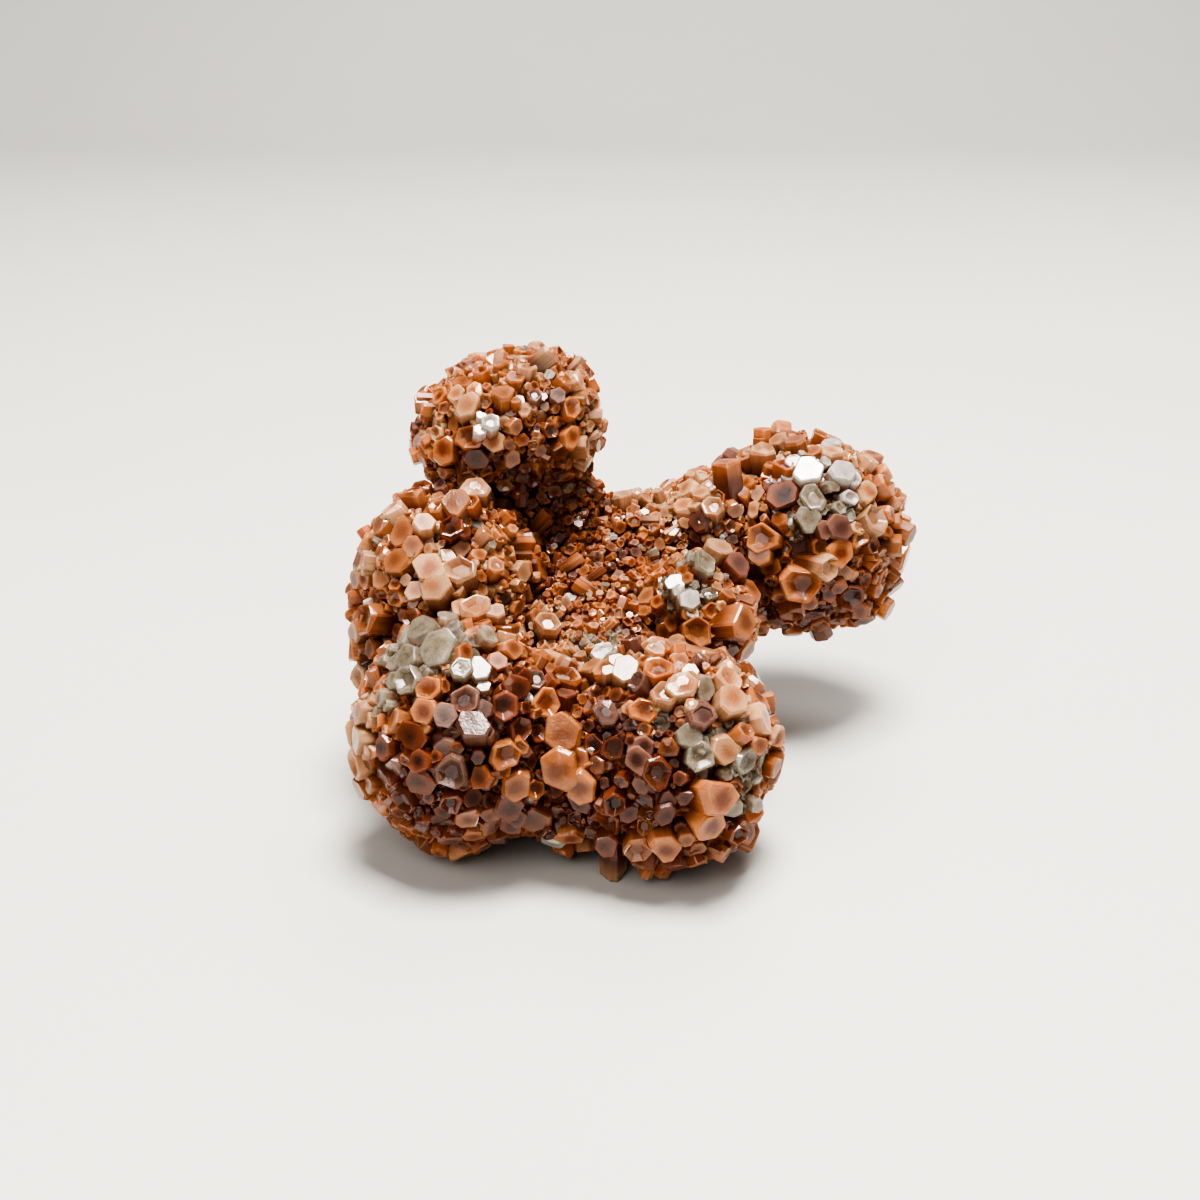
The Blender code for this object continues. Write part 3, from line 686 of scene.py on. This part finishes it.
def crystal_rows(large, fill, draw):
    """Every crystal as one row: large ones, fill and companions."""
    rows = []
    for item in large:
        across, along = sides(item["out"], item["twist"])
        flats = stretched(item["flats"], draw)
        rows.append((item["tip"], item["out"], across, along, flats, item["length"], item["width"],
                     item["stone"], 0))
    for tip, out, width, raised, level in zip(fill[:, :3], fill[:, 3:6], *fill[:, 6:].T):
        across, along = sides(out, draw.uniform(0, math.pi))
        flats = stretched(draw.uniform(*FILL_SIDE_SHARE, 6) * width / 2, draw)
        length = raised + FILL_ROOT + 0.5 * width
        rows.append((tip, out, across, along, flats, length, width, None, int(level) + 1))
    parents = [row for row in rows if row[-1] in COMPANION_SHARE and row[0][2] > COMPANION_HEIGHT]
    return rows + sum([companions(row, draw) for row in parents], [])


def table(rows):
    """Rows of crystal facts as one array per fact."""
    names = ("tip", "out", "across", "along", "flats", "length", "width", "stone", "level")
    return {name: np.array([row[k] for row in rows]) for k, name in enumerate(names)}


shape_draw = np.random.default_rng(SHAPE_SEED)
crystals = table(crystal_rows(large, fill, shape_draw))
crystals["lump"] = growth(crystals["tip"])[2]
fine = np.isin(crystals["lump"], FINE)
chosen = crystals["stone"]
crystals["stone"], crystals["shade"] = pick_stones(crystals["tip"], fine, shape_draw)
for kind in STONES:
    crystals["stone"][chosen == kind] = STONES.index(kind)
for kind, shade in SHADES.items():
    crystals["stone"][chosen == kind] = 0
    crystals["shade"][chosen == kind] = shade
count = len(crystals["width"])
crystals["end"] = shape_draw.choice(len(END_CHANCE), count, p=END_CHANCE)
crystals["tone"] = shape_draw.uniform(0, 1, count)
crystals["polish"] = shape_draw.uniform(0, 1, count)
crystals["tilt"] = shape_draw.normal(size=(count, 2)) * END_TILT * (crystals["level"] > 0)[:, None]
crystals["shift"] = shape_draw.normal(size=(count, 2)) * END_SHIFT
crystals["chips"] = shape_draw.uniform(0, 1, (count, 6)) ** 3 * CHIP
print(count, "crystals in all;", dict(zip(STONES, np.bincount(crystals["stone"]))))


def ring_points(flats, bevelled):
    """Outline points around each crystal: six, or twelve where the upright edges are bevelled."""
    ring = corners(flats)
    if not bevelled:
        return ring
    before = ring + (np.roll(ring, 1, axis=1) - ring) * CORNER_BEVEL
    after = ring + (np.roll(ring, -1, axis=1) - ring) * CORNER_BEVEL
    return np.stack([before, after], axis=2).reshape(len(flats), 12, 2)


def crystal_mesh(rows, bevelled):
    """Vertices, faces and per-vertex facts of the crystals in these rows of the table."""
    facts = {name: values[rows] for name, values in crystals.items()}
    outline = ring_points(facts["flats"], bevelled)
    many, around = outline.shape[:2]
    width = facts["width"][:, None]
    chips = np.repeat(facts["chips"], around // 6, axis=1)
    rim = BODY_SHARE - 2 * BEVEL - chips
    ends = np.array([list(END_SHAPES.values())[k] for k in facts["end"]]).reshape(many, 4)
    deep = facts["length"][:, None]
    stack = [
        # Share of the outline, rise, how much of the end's tilt, and how near the end's middle.
        (np.full((many, 1), ROOT_SHARE), -deep, 0.0, 0.0),
        (np.full((many, 1), 1.0), -deep * MIDDLE_DEPTH, 0.0, 0.0),
        (np.full((many, 1), BODY_SHARE), -BEVEL * width - chips * CHIP_DEPTH * width, 1.0, 0.0),
        (rim, 0.0 * width, 1.0, 0.0),
        (np.minimum(ends[:, 0:1] * INNER_SHARE, rim - INNER_GAP), ends[:, 1:2] * width, 1.0, 0.5),
        (ends[:, 2:3] * INNER_SHARE, ends[:, 3:4] * width, 1.0, 0.85),
    ]
    if not bevelled:
        stack.pop(1)
    points, sunk = [], []
    for k, (share, rise, tilted, near) in enumerate(stack):
        flat = outline * share[..., None]
        if near:
            flat = flat + (facts["shift"] * width)[:, None] * near
        height = rise + tilted * (flat * facts["tilt"][:, None]).sum(axis=2)
        points.append((flat, height))
        sunk.append(np.broadcast_to(-np.minimum(rise, 0.0), (many, around)))
    flat = np.concatenate([part[0] for part in points], axis=1)
    height = np.concatenate([part[1] for part in points], axis=1)
    hubs = np.zeros((many, 2, 2))
    hubs[:, 1] = facts["shift"] * width
    hub_height = np.concatenate([-deep, ends[:, 3:4] * width], axis=1)
    flat = np.concatenate([flat, hubs], axis=1)
    height = np.concatenate([height, hub_height], axis=1)
    place = (facts["tip"][:, None] + facts["across"][:, None] * flat[..., 0:1]
             + facts["along"][:, None] * flat[..., 1:2] + facts["out"][:, None] * height[..., None])
    # What would reach below the floor is ground flat.
    place[..., 2] = np.maximum(place[..., 2], 0.0)
    sunk = np.concatenate(sunk + [deep, 0.0 * deep], axis=1)
    grain = np.concatenate([flat, height[..., None]], axis=2)

    levels = len(stack)
    ring = np.arange(around)
    following = (ring + 1) % around
    quads = [np.stack([ring, following, following + around, ring + around], 1) + k * around
             for k in range(levels - 1)]
    top = (levels - 1) * around
    root = levels * around
    fans = [np.stack([np.full(around, root), following, ring], 1),
            np.stack([np.full(around, root + 1), ring + top, following + top], 1)]
    per = root + 2
    start = (np.arange(many) * per)[:, None, None]
    quads = (np.concatenate(quads)[None] + start).reshape(-1, 4)
    fans = (np.concatenate(fans)[None] + start).reshape(-1, 3)
    carried = ("tone", "shade", "polish", "stone", "width")
    spread = {name: np.repeat(facts[name], per) for name in carried}
    spread["sunk"] = sunk.reshape(-1)
    spread["grain"] = grain.reshape(-1, 3)
    owner = np.concatenate([np.repeat(facts["stone"], faces) for faces in (top, 2 * around)])
    return place.reshape(-1, 3), quads, fans, owner, spread


def add_object(name, data):
    """An object with this data, in the scene."""
    obj = bpy.data.objects.new(name, data)
    bpy.context.scene.collection.objects.link(obj)
    return obj


def build_mesh(name, groups):
    """One mesh object from several groups of crystals."""
    places, loops, starts, owners, facts = [], [], [], [], {}
    first, begin = 0, 0
    for place, quads, fans, owner, spread in groups:
        places.append(place)
        loops += [(quads + first).reshape(-1), (fans + first).reshape(-1)]
        sizes = np.concatenate([np.full(len(quads), 4), np.full(len(fans), 3)])
        starts.append(begin + np.concatenate([[0], np.cumsum(sizes)[:-1]]))
        begin += sizes.sum()
        first += len(place)
        owners.append(owner)
        for key, values in spread.items():
            facts.setdefault(key, []).append(values)
    places, loops, starts = np.concatenate(places), np.concatenate(loops), np.concatenate(starts)
    mesh = bpy.data.meshes.new(name)
    mesh.vertices.add(len(places))
    mesh.vertices.foreach_set("co", places.astype(np.float32).reshape(-1))
    mesh.loops.add(len(loops))
    mesh.loops.foreach_set("vertex_index", loops.astype(np.int32))
    mesh.polygons.add(len(starts))
    mesh.polygons.foreach_set("loop_start", starts.astype(np.int32))
    owners = np.concatenate(owners)
    mesh.polygons.foreach_set("material_index", np.array(SLOT_OF_STONE)[owners].astype(np.int32))
    mesh.update(calc_edges=True)
    mesh.validate()
    for key, values in facts.items():
        values = np.concatenate(values)
        kind = "FLOAT_VECTOR" if values.ndim == 2 else "FLOAT"
        attribute = mesh.attributes.new(key, kind, "POINT")
        attribute.data.foreach_set("vector" if values.ndim == 2 else "value",
                                   values.astype(np.float32).reshape(-1))
    mesh.shade_flat()
    return add_object(name, mesh)


# %% [markdown]
# ## Pieces, lobe by lobe
#
# The cluster is one natural thing, but a renderer and a reader both like pieces of a fair size, so
# the crystals are joined lobe by lobe.

# %% Lobes
# The material of each kind of stone. Amber and smoky crystals share one.
SLOT_OF_STONE = (0, 0, 1, 2)
LOBES = {
    "top_lobe": ("top_low", "top_high", "top_neck"),
    "left_lobe": ("left_shoulder", "left_hip"),
    "front_left_lobe": ("front_left",),
    "front_right_lobe": ("front_right", "front_middle"),
    "right_lobe": ("right_arm", "right_neck"),
    "saddle_crystals": ("saddle", "right_ridge"),
    "inner_crystals": ("heart", "right_hip", "back_foot"),
}
# Wider crystals than this have bevelled long edges and a middle ring.
BEVEL_FROM = 2.3 * MM


def lobe_object(name, lumps):
    """All crystals of one lobe as one object."""
    here = np.isin(crystals["lump"], [NAMES.index(lump) for lump in lumps])
    big = crystals["width"] > BEVEL_FROM
    return build_mesh(name, [crystal_mesh(np.flatnonzero(here & big), True),
                             crystal_mesh(np.flatnonzero(here & ~big), False)])


lobes = [lobe_object(name, lumps) for name, lumps in LOBES.items()]
for lobe in lobes:
    lobe.data.calc_loop_triangles()
    print(lobe.name, len(lobe.data.loop_triangles), "triangles")

# %% [markdown]
# ## The core
#
# Between the roots of the crystals a real cluster is solid stone. Here that stone is the same
# ellipsoids, shrunk under the crystals' ends and joined to one closed skin.

# %% Core
CORE_SINK = 0.52
CORE_VOXEL = 1.2 * MM


def core_object():
    """The stone below the crystals, in one closed piece."""
    grown = bmesh.new()
    for name, centre, halves, turn in zip(NAMES, CENTRES, HALVES, TURNS):
        sink = CORE_SINK * LUMP_WIDTHS[name] * USUAL_WIDTH
        size = Matrix.Diagonal((*(halves - sink), 1.0))
        place = Matrix.Translation(centre) @ Matrix(turn).to_4x4() @ size
        bmesh.ops.create_icosphere(grown, subdivisions=4, radius=1.0, matrix=place)
    mesh = bpy.data.meshes.new("core")
    grown.to_mesh(mesh)
    grown.free()
    obj = add_object("core", mesh)
    joined = obj.modifiers.new("joined", "REMESH")
    joined.mode = "VOXEL"
    joined.voxel_size = CORE_VOXEL
    rounded = obj.modifiers.new("rounded", "CORRECTIVE_SMOOTH")
    rounded.iterations = 4
    rounded.use_only_smooth = True
    bpy.context.view_layer.objects.active = obj
    for name in ("joined", "rounded"):
        bpy.ops.object.modifier_apply(modifier=name)
    places = np.empty(len(obj.data.vertices) * 3, np.float32)
    obj.data.vertices.foreach_get("co", places)
    places[2::3] = np.maximum(places[2::3], FLOOR_GAP)
    obj.data.vertices.foreach_set("co", places)
    return obj


core = core_object()
print("core with", len(core.data.polygons), "faces")

# %% [markdown]
# ## Writing a material as sums
#
# A node tree is easier to read as a sum than as boxes and lines. `Wire` wraps one output of a node,
# so that plus, times and mix make the nodes. Anything else goes through `node`.

# %% A small language for materials
def both_ways(operation):
    """An operator of the class below, and its reflected form."""
    return (lambda self, other: self.sums(operation, self, other),
            lambda self, other: self.sums(operation, other, self))


class Wire:
    """One output of a node tree, to be calculated with like a number, a vector or a colour."""

    def __init__(self, tree, socket):
        self.tree = tree
        self.socket = socket

    def node(self, kind, settings=(), output=0, **inputs):
        """Any other node: its type, its settings and its inputs. Input names use _ for a space."""
        made = self.tree.nodes.new(kind)
        for name, value in dict(settings).items():
            setattr(made, name, value)
        for name, value in inputs.items():
            self.feed(made.inputs[name.replace("_", " ")], value)
        return Wire(self.tree, made.outputs[output])

    def feed(self, target, value):
        """Links a wire to an input, or sets a plain value on it."""
        if isinstance(value, Wire):
            self.tree.links.new(value.socket, target)
        else:
            target.default_value = value

    def calculate(self, kind, operation, values):
        """A Math or Vector Math node, whose inputs share one name and go by place."""
        made = self.tree.nodes.new(kind)
        made.operation = operation
        for target, value in zip(made.inputs, values):
            if kind == "ShaderNodeVectorMath" and isinstance(value, (int, float)):
                value = (value, value, value)
            self.feed(target, value)
        return Wire(self.tree, made.outputs[0])

    def sums(self, operation, first, second):
        """The same sum for numbers and for vectors."""
        values = (first, second)
        kinds = [value.socket.type if isinstance(value, Wire) else type(value) for value in values]
        many = any(kind in ("VECTOR", "RGBA", tuple) for kind in kinds)
        return self.calculate("ShaderNodeVectorMath" if many else "ShaderNodeMath", operation, values)

    __add__, __radd__ = both_ways("ADD")
    __sub__, __rsub__ = both_ways("SUBTRACT")
    __mul__, __rmul__ = both_ways("MULTIPLY")
    __truediv__, __rtruediv__ = both_ways("DIVIDE")
    __pow__, __rpow__ = both_ways("POWER")

    def __neg__(self):
        return self * -1.0

    def length(self):
        """How long a vector is."""
        made = self.calculate("ShaderNodeVectorMath", "LENGTH", (self,))
        return Wire(self.tree, made.socket.node.outputs["Value"])

    def ramp(self, start, end):
        """0 below start, 1 above end, and a smooth rise in between."""
        return self.node("ShaderNodeMapRange", {"interpolation_type": "SMOOTHSTEP"},
                         Value=self, From_Min=start, From_Max=end)

    def mix(self, first, second):
        """The first colour where this is 0, and the second where it is 1."""
        made = self.tree.nodes.new("ShaderNodeMix")
        made.data_type = "RGBA"
        for place, value in ((0, self), (6, first), (7, second)):
            self.feed(made.inputs[place], value)
        return Wire(self.tree, made.outputs[2])


def colour(red, green, blue):
    """A colour as it looks on a screen, from 0 to 255, as the light values that nodes use."""
    screen = np.array((red, green, blue)) / 255.0
    return (*np.where(screen > 0.04045, ((screen + 0.055) / 1.055) ** 2.4, screen / 12.92), 1.0)


def new_material(name):
    """An empty material and its node tree."""
    material = bpy.data.materials.new(name)
    material.use_nodes = True
    material.node_tree.nodes.clear()
    return material, material.node_tree


def fact(tree, name, vector=False):
    """A fact that the mesh carries at every vertex."""
    made = tree.nodes.new("ShaderNodeAttribute")
    made.attribute_name = name
    return Wire(tree, made.outputs["Vector" if vector else "Fac"])


def close_material(tree, surface, volume=None):
    """Links the finished surface and volume to the output."""
    output = tree.nodes.new("ShaderNodeOutputMaterial")
    tree.links.new(surface.socket, output.inputs["Surface"])
    if volume is not None:
        tree.links.new(volume.socket, output.inputs["Volume"])


def finish_surface(tree, constants, **varying):
    """A Principled surface: constants set on the sockets, and wires for what varies."""
    made = tree.nodes.new("ShaderNodeBsdfPrincipled")
    for name, value in constants.items():
        made.inputs[name].default_value = value
    for name, value in varying.items():
        tree.links.new(value.socket, made.inputs[name.replace("_", " ")])
    return Wire(tree, made.outputs[0])


# %% [markdown]
# ## The stone
#
# Aragonite like this owes its brown to iron. The colour sits in the depth of a crystal, so looking
# straight down an end face it is dark, and along the rim, where light leaves again, it is a bright
# caramel: this dark middle and bright rim are painted into the colour, in place of the light that
# passes through. Deep between the crystals the colour is painted a darker, redder brown, as painted
# shade for the gaps.

# %% Stone materials
AMBER = (colour(228, 148, 94), colour(120, 56, 27))
BROWN = (colour(152, 84, 54), colour(54, 24, 13))
PEACH = (colour(244, 194, 150), colour(190, 116, 72))
SMOKY = (colour(170, 124, 106), colour(84, 50, 40))
FROST = (colour(248, 240, 232), colour(206, 182, 166))
CLEAR = (colour(242, 228, 202), colour(196, 174, 142))
# Painted shade: the darker, redder brown that the crystals' sides take deep between them, where little
# light reaches.
GAP_SHADE = colour(122, 60, 33)
# Noise sizes in cycles a metre: clouds in the stone, streaks along a crystal, veils in pale ones.
CLOUDS = 420.0
STREAKS = 2600.0
VEILS = 900.0
# How far down its side a crystal turns to the painted gap shade, and how deep the streaks are in its
# faces.
GAP_SHADE_DEPTH = 4.2 * MM
STREAK_DEPTH = 0.06 * MM


def stone_colours(tree):
    """Rim colour and depth colour of the crystal that a point belongs to."""
    shade, stone = fact(tree, "shade"), fact(tree, "stone")
    both = []
    for part in (0, 1):
        paint = (-shade).ramp(-0.1, 1.0).mix(AMBER[part], BROWN[part])
        paint = shade.ramp(-0.1, 1.0).mix(paint, PEACH[part])
        for number, kind in enumerate((SMOKY, FROST, CLEAR), start=1):
            paint = stone.ramp(number - 0.6, number - 0.4).mix(paint, kind[part])
        both.append(paint)
    return both


def stone_parts(tree):
    """Colour, roughness and fine relief that all kinds of stone share."""
    rim, depth = stone_colours(tree)
    tone, polish, sunk = fact(tree, "tone"), fact(tree, "polish"), fact(tree, "sunk")
    grain = fact(tree, "grain", vector=True)
    cloud = grain.node("ShaderNodeTexNoise", Vector=grain + tone * 0.37, Scale=CLOUDS, Detail=3.0)
    along = grain * (1.0, 1.0, 0.06)
    streak = grain.node("ShaderNodeTexNoise", Vector=along, Scale=STREAKS, Detail=2.0)
    radius = (grain * (1.0, 1.0, 0.0)).length() * 2.0 / fact(tree, "width")
    # Painted light: each end face is painted dark in its middle and bright towards its rim, in place
    # of light that enters the crystal and leaves by its edges.
    heart = 1.0 - (radius + (cloud - 0.5) * 1.0).ramp(0.10, 1.0)
    paint = (heart * (0.60 + tone * 0.40)).mix(rim, depth)
    pale = fact(tree, "stone").ramp(1.4, 1.6)
    veil = grain.node("ShaderNodeTexNoise", Vector=grain + tone * 0.61, Scale=VEILS, Detail=4.0)
    paint = paint * (1.0 + pale * (veil - 0.44) * 1.5)
    paint = (pale * sunk.ramp(0.5 * MM, 2.6 * MM) * 0.75).mix(paint, AMBER[0])
    # Painted shade: down its side each crystal darkens towards the painted gap shade.
    paint = ((sunk + (cloud - 0.5) * 0.002).ramp(0.3 * MM, GAP_SHADE_DEPTH) * 0.9).mix(paint, GAP_SHADE)
    paint = paint * (0.60 + tone * 0.42) * (0.68 + streak * 0.64)
    small = 1.0 - fact(tree, "width").ramp(1.0 * MM, 3.0 * MM)
    roughness = 0.05 + polish ** 3.0 * 0.30 + cloud * 0.08 + small * 0.12
    height = streak + cloud * 3.0
    ripple = grain.node("ShaderNodeBump", Height=height, Distance=STREAK_DEPTH, Strength=0.6)
    return paint, roughness, ripple


def stone_material(name, constants):
    """One kind of stone: what varies comes from the crystals, what doesn't from the constants."""
    material, tree = new_material(name)
    paint, roughness, ripple = stone_parts(tree)
    surface = finish_surface(tree, constants, Base_Color=paint, Roughness=roughness, Normal=ripple)
    return material, tree, surface


def amber_material():
    """Amber, brown, peach and smoky crystals: waxy, with light that spreads inside."""
    material, tree, surface = stone_material("aragonite_amber", {
        "IOR": 1.6, "Specular IOR Level": 0.22, "Transmission Weight": 0.5, "Subsurface Weight": 0.5,
        "Subsurface Radius": (1.0, 0.42, 0.20), "Subsurface Scale": 1.3 * MM})
    close_material(tree, surface)
    return material


def frost_material():
    """White, milky crystals."""
    material, tree, surface = stone_material("aragonite_frost", {
        "IOR": 1.6, "Transmission Weight": 0.55, "Subsurface Weight": 0.5,
        "Subsurface Radius": (1.0, 0.8, 0.6), "Subsurface Scale": 1.2 * MM})
    close_material(tree, surface)
    return material


def clear_material():
    """Clear crystals: see-through, with a faint greenish grey inside."""
    material, tree, surface = stone_material("aragonite_clear", {
        "IOR": 1.6, "Specular IOR Level": 0.4, "Transmission Weight": 0.78, "Subsurface Weight": 0.6,
        "Subsurface Radius": (0.9, 1.0, 0.8), "Subsurface Scale": 1.5 * MM})
    depth = tree.nodes.new("ShaderNodeVolumeAbsorption")
    depth.inputs["Color"].default_value = colour(206, 210, 190)
    depth.inputs["Density"].default_value = 15.0
    close_material(tree, surface, Wire(tree, depth.outputs[0]))
    return material


def core_material():
    """Dark, dull stone between the roots."""
    material, tree = new_material("aragonite_core")
    place = Wire(tree, tree.nodes.new("ShaderNodeTexCoord").outputs["Object"])
    cloud = place.node("ShaderNodeTexNoise", Vector=place, Scale=300.0, Detail=4.0)
    # The core's dark red-brown is partly the stone's own and partly painted shade, so that where it
    # shows between the crystals it reads as a shaded gap.
    paint = cloud.ramp(0.3, 0.7).mix(colour(66, 32, 20), colour(112, 60, 38))
    ripple = place.node("ShaderNodeBump", Height=cloud, Distance=0.5 * MM)
    roughness = 0.55 + cloud * 0.3
    surface = finish_surface(tree, {"IOR": 1.6}, Base_Color=paint, Roughness=roughness, Normal=ripple)
    close_material(tree, surface)
    return material


for material in (amber_material(), frost_material(), clear_material()):
    for lobe in lobes:
        lobe.data.materials.append(material)
core.data.materials.append(core_material())
print(len(bpy.data.materials), "materials")

# %% [markdown]
# ## Floor, light and camera
#
# The ground is a plain pale sweep. One soft light hangs overhead, where it glints on the end faces
# that lean half way up. A weaker one in front fills the shadows, and one behind draws the upper
# edges.

# %% Stage
SWEEP_FRONT = -1.2
SWEEP_BACK = 0.9
SWEEP_TURN = 0.35
SWEEP_TOP = 1.8
SWEEP_SIDE = 2.2


def sweep_object():
    """A floor that curves up into a backdrop."""
    mesh = bpy.data.meshes.new("sweep")
    profile = [(SWEEP_FRONT, 0.0)]
    for angle in np.radians(np.linspace(0, 90, 13)):
        profile.append((SWEEP_BACK + SWEEP_TURN * math.sin(angle), SWEEP_TURN * (1 - math.cos(angle))))
    profile.append((SWEEP_BACK + SWEEP_TURN, SWEEP_TOP))
    points = [(side, away, up) for away, up in profile for side in (-SWEEP_SIDE, SWEEP_SIDE)]
    faces = [(2 * k, 2 * k + 1, 2 * k + 3, 2 * k + 2) for k in range(len(profile) - 1)]
    mesh.from_pydata(points, [], faces)
    mesh.shade_smooth()
    obj = add_object("sweep", mesh)
    material, tree = new_material("sweep_paper")
    place = Wire(tree, tree.nodes.new("ShaderNodeTexCoord").outputs["Object"])
    cloud = place.node("ShaderNodeTexNoise", Vector=place, Scale=6.0, Detail=3.0)
    paint = cloud.mix(colour(192, 190, 185), colour(200, 198, 192))
    close_material(tree, finish_surface(tree, {}, Base_Color=paint, Roughness=0.6 + cloud * 0.1))
    mesh.materials.append(material)


def soft_light(name, place, aim, size, power, tint):
    """A square light at a place, turned to what it lights."""
    data = bpy.data.lights.new(name, "AREA")
    data.size = size
    data.energy = power
    data.color = tint
    light = add_object(name, data)
    light.location = place
    light.rotation_euler = (Vector(aim) - Vector(place)).to_track_quat("-Z", "Y").to_euler()


sweep_object()
# Each light: its place, what it is turned to, its size in metres, its power in watts, its tint.
CLUSTER_MIDDLE = (0.0, 0.0, 0.035)
soft_light("key", (0.08, -0.06, 1.05), CLUSTER_MIDDLE, 0.42, 30.0, (1.0, 0.97, 0.93))
soft_light("fill", (-0.35, -0.75, 0.75), CLUSTER_MIDDLE, 0.7, 6.0, (1.0, 0.97, 0.94))
soft_light("back", (0.2, 0.7, 0.9), CLUSTER_MIDDLE, 0.5, 5.0, (1.0, 0.98, 0.95))

world = bpy.data.worlds.new("soft_sky")
world.use_nodes = True
world.node_tree.nodes["Background"].inputs["Color"].default_value = (0.93, 0.95, 1.0, 1.0)
world.node_tree.nodes["Background"].inputs["Strength"].default_value = 0.20
bpy.context.scene.world = world
bpy.context.scene.view_settings.look = "AgX - High Contrast"

eye = bpy.data.cameras.new("eye")
eye.sensor_width = 36.0
eye.lens = FOCUS_PIXELS / VIEW_PIXELS * eye.sensor_width
eye.clip_start = 0.01
eye.clip_end = 20.0
camera = add_object("eye", eye)
camera.location = EYE
camera.rotation_euler = (math.pi / 2 - LOOK_DOWN, 0.0, 0.0)
bpy.context.scene.camera = camera

# %% [markdown]
# ## Back to the frame
#
# Every piece rides on the one body that the solid part has, and stands in for its one node.

# %% Tie to the frame and finish
for piece in (*lobes, core):
    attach(piece, "root")
    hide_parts("aragonite_cluster")
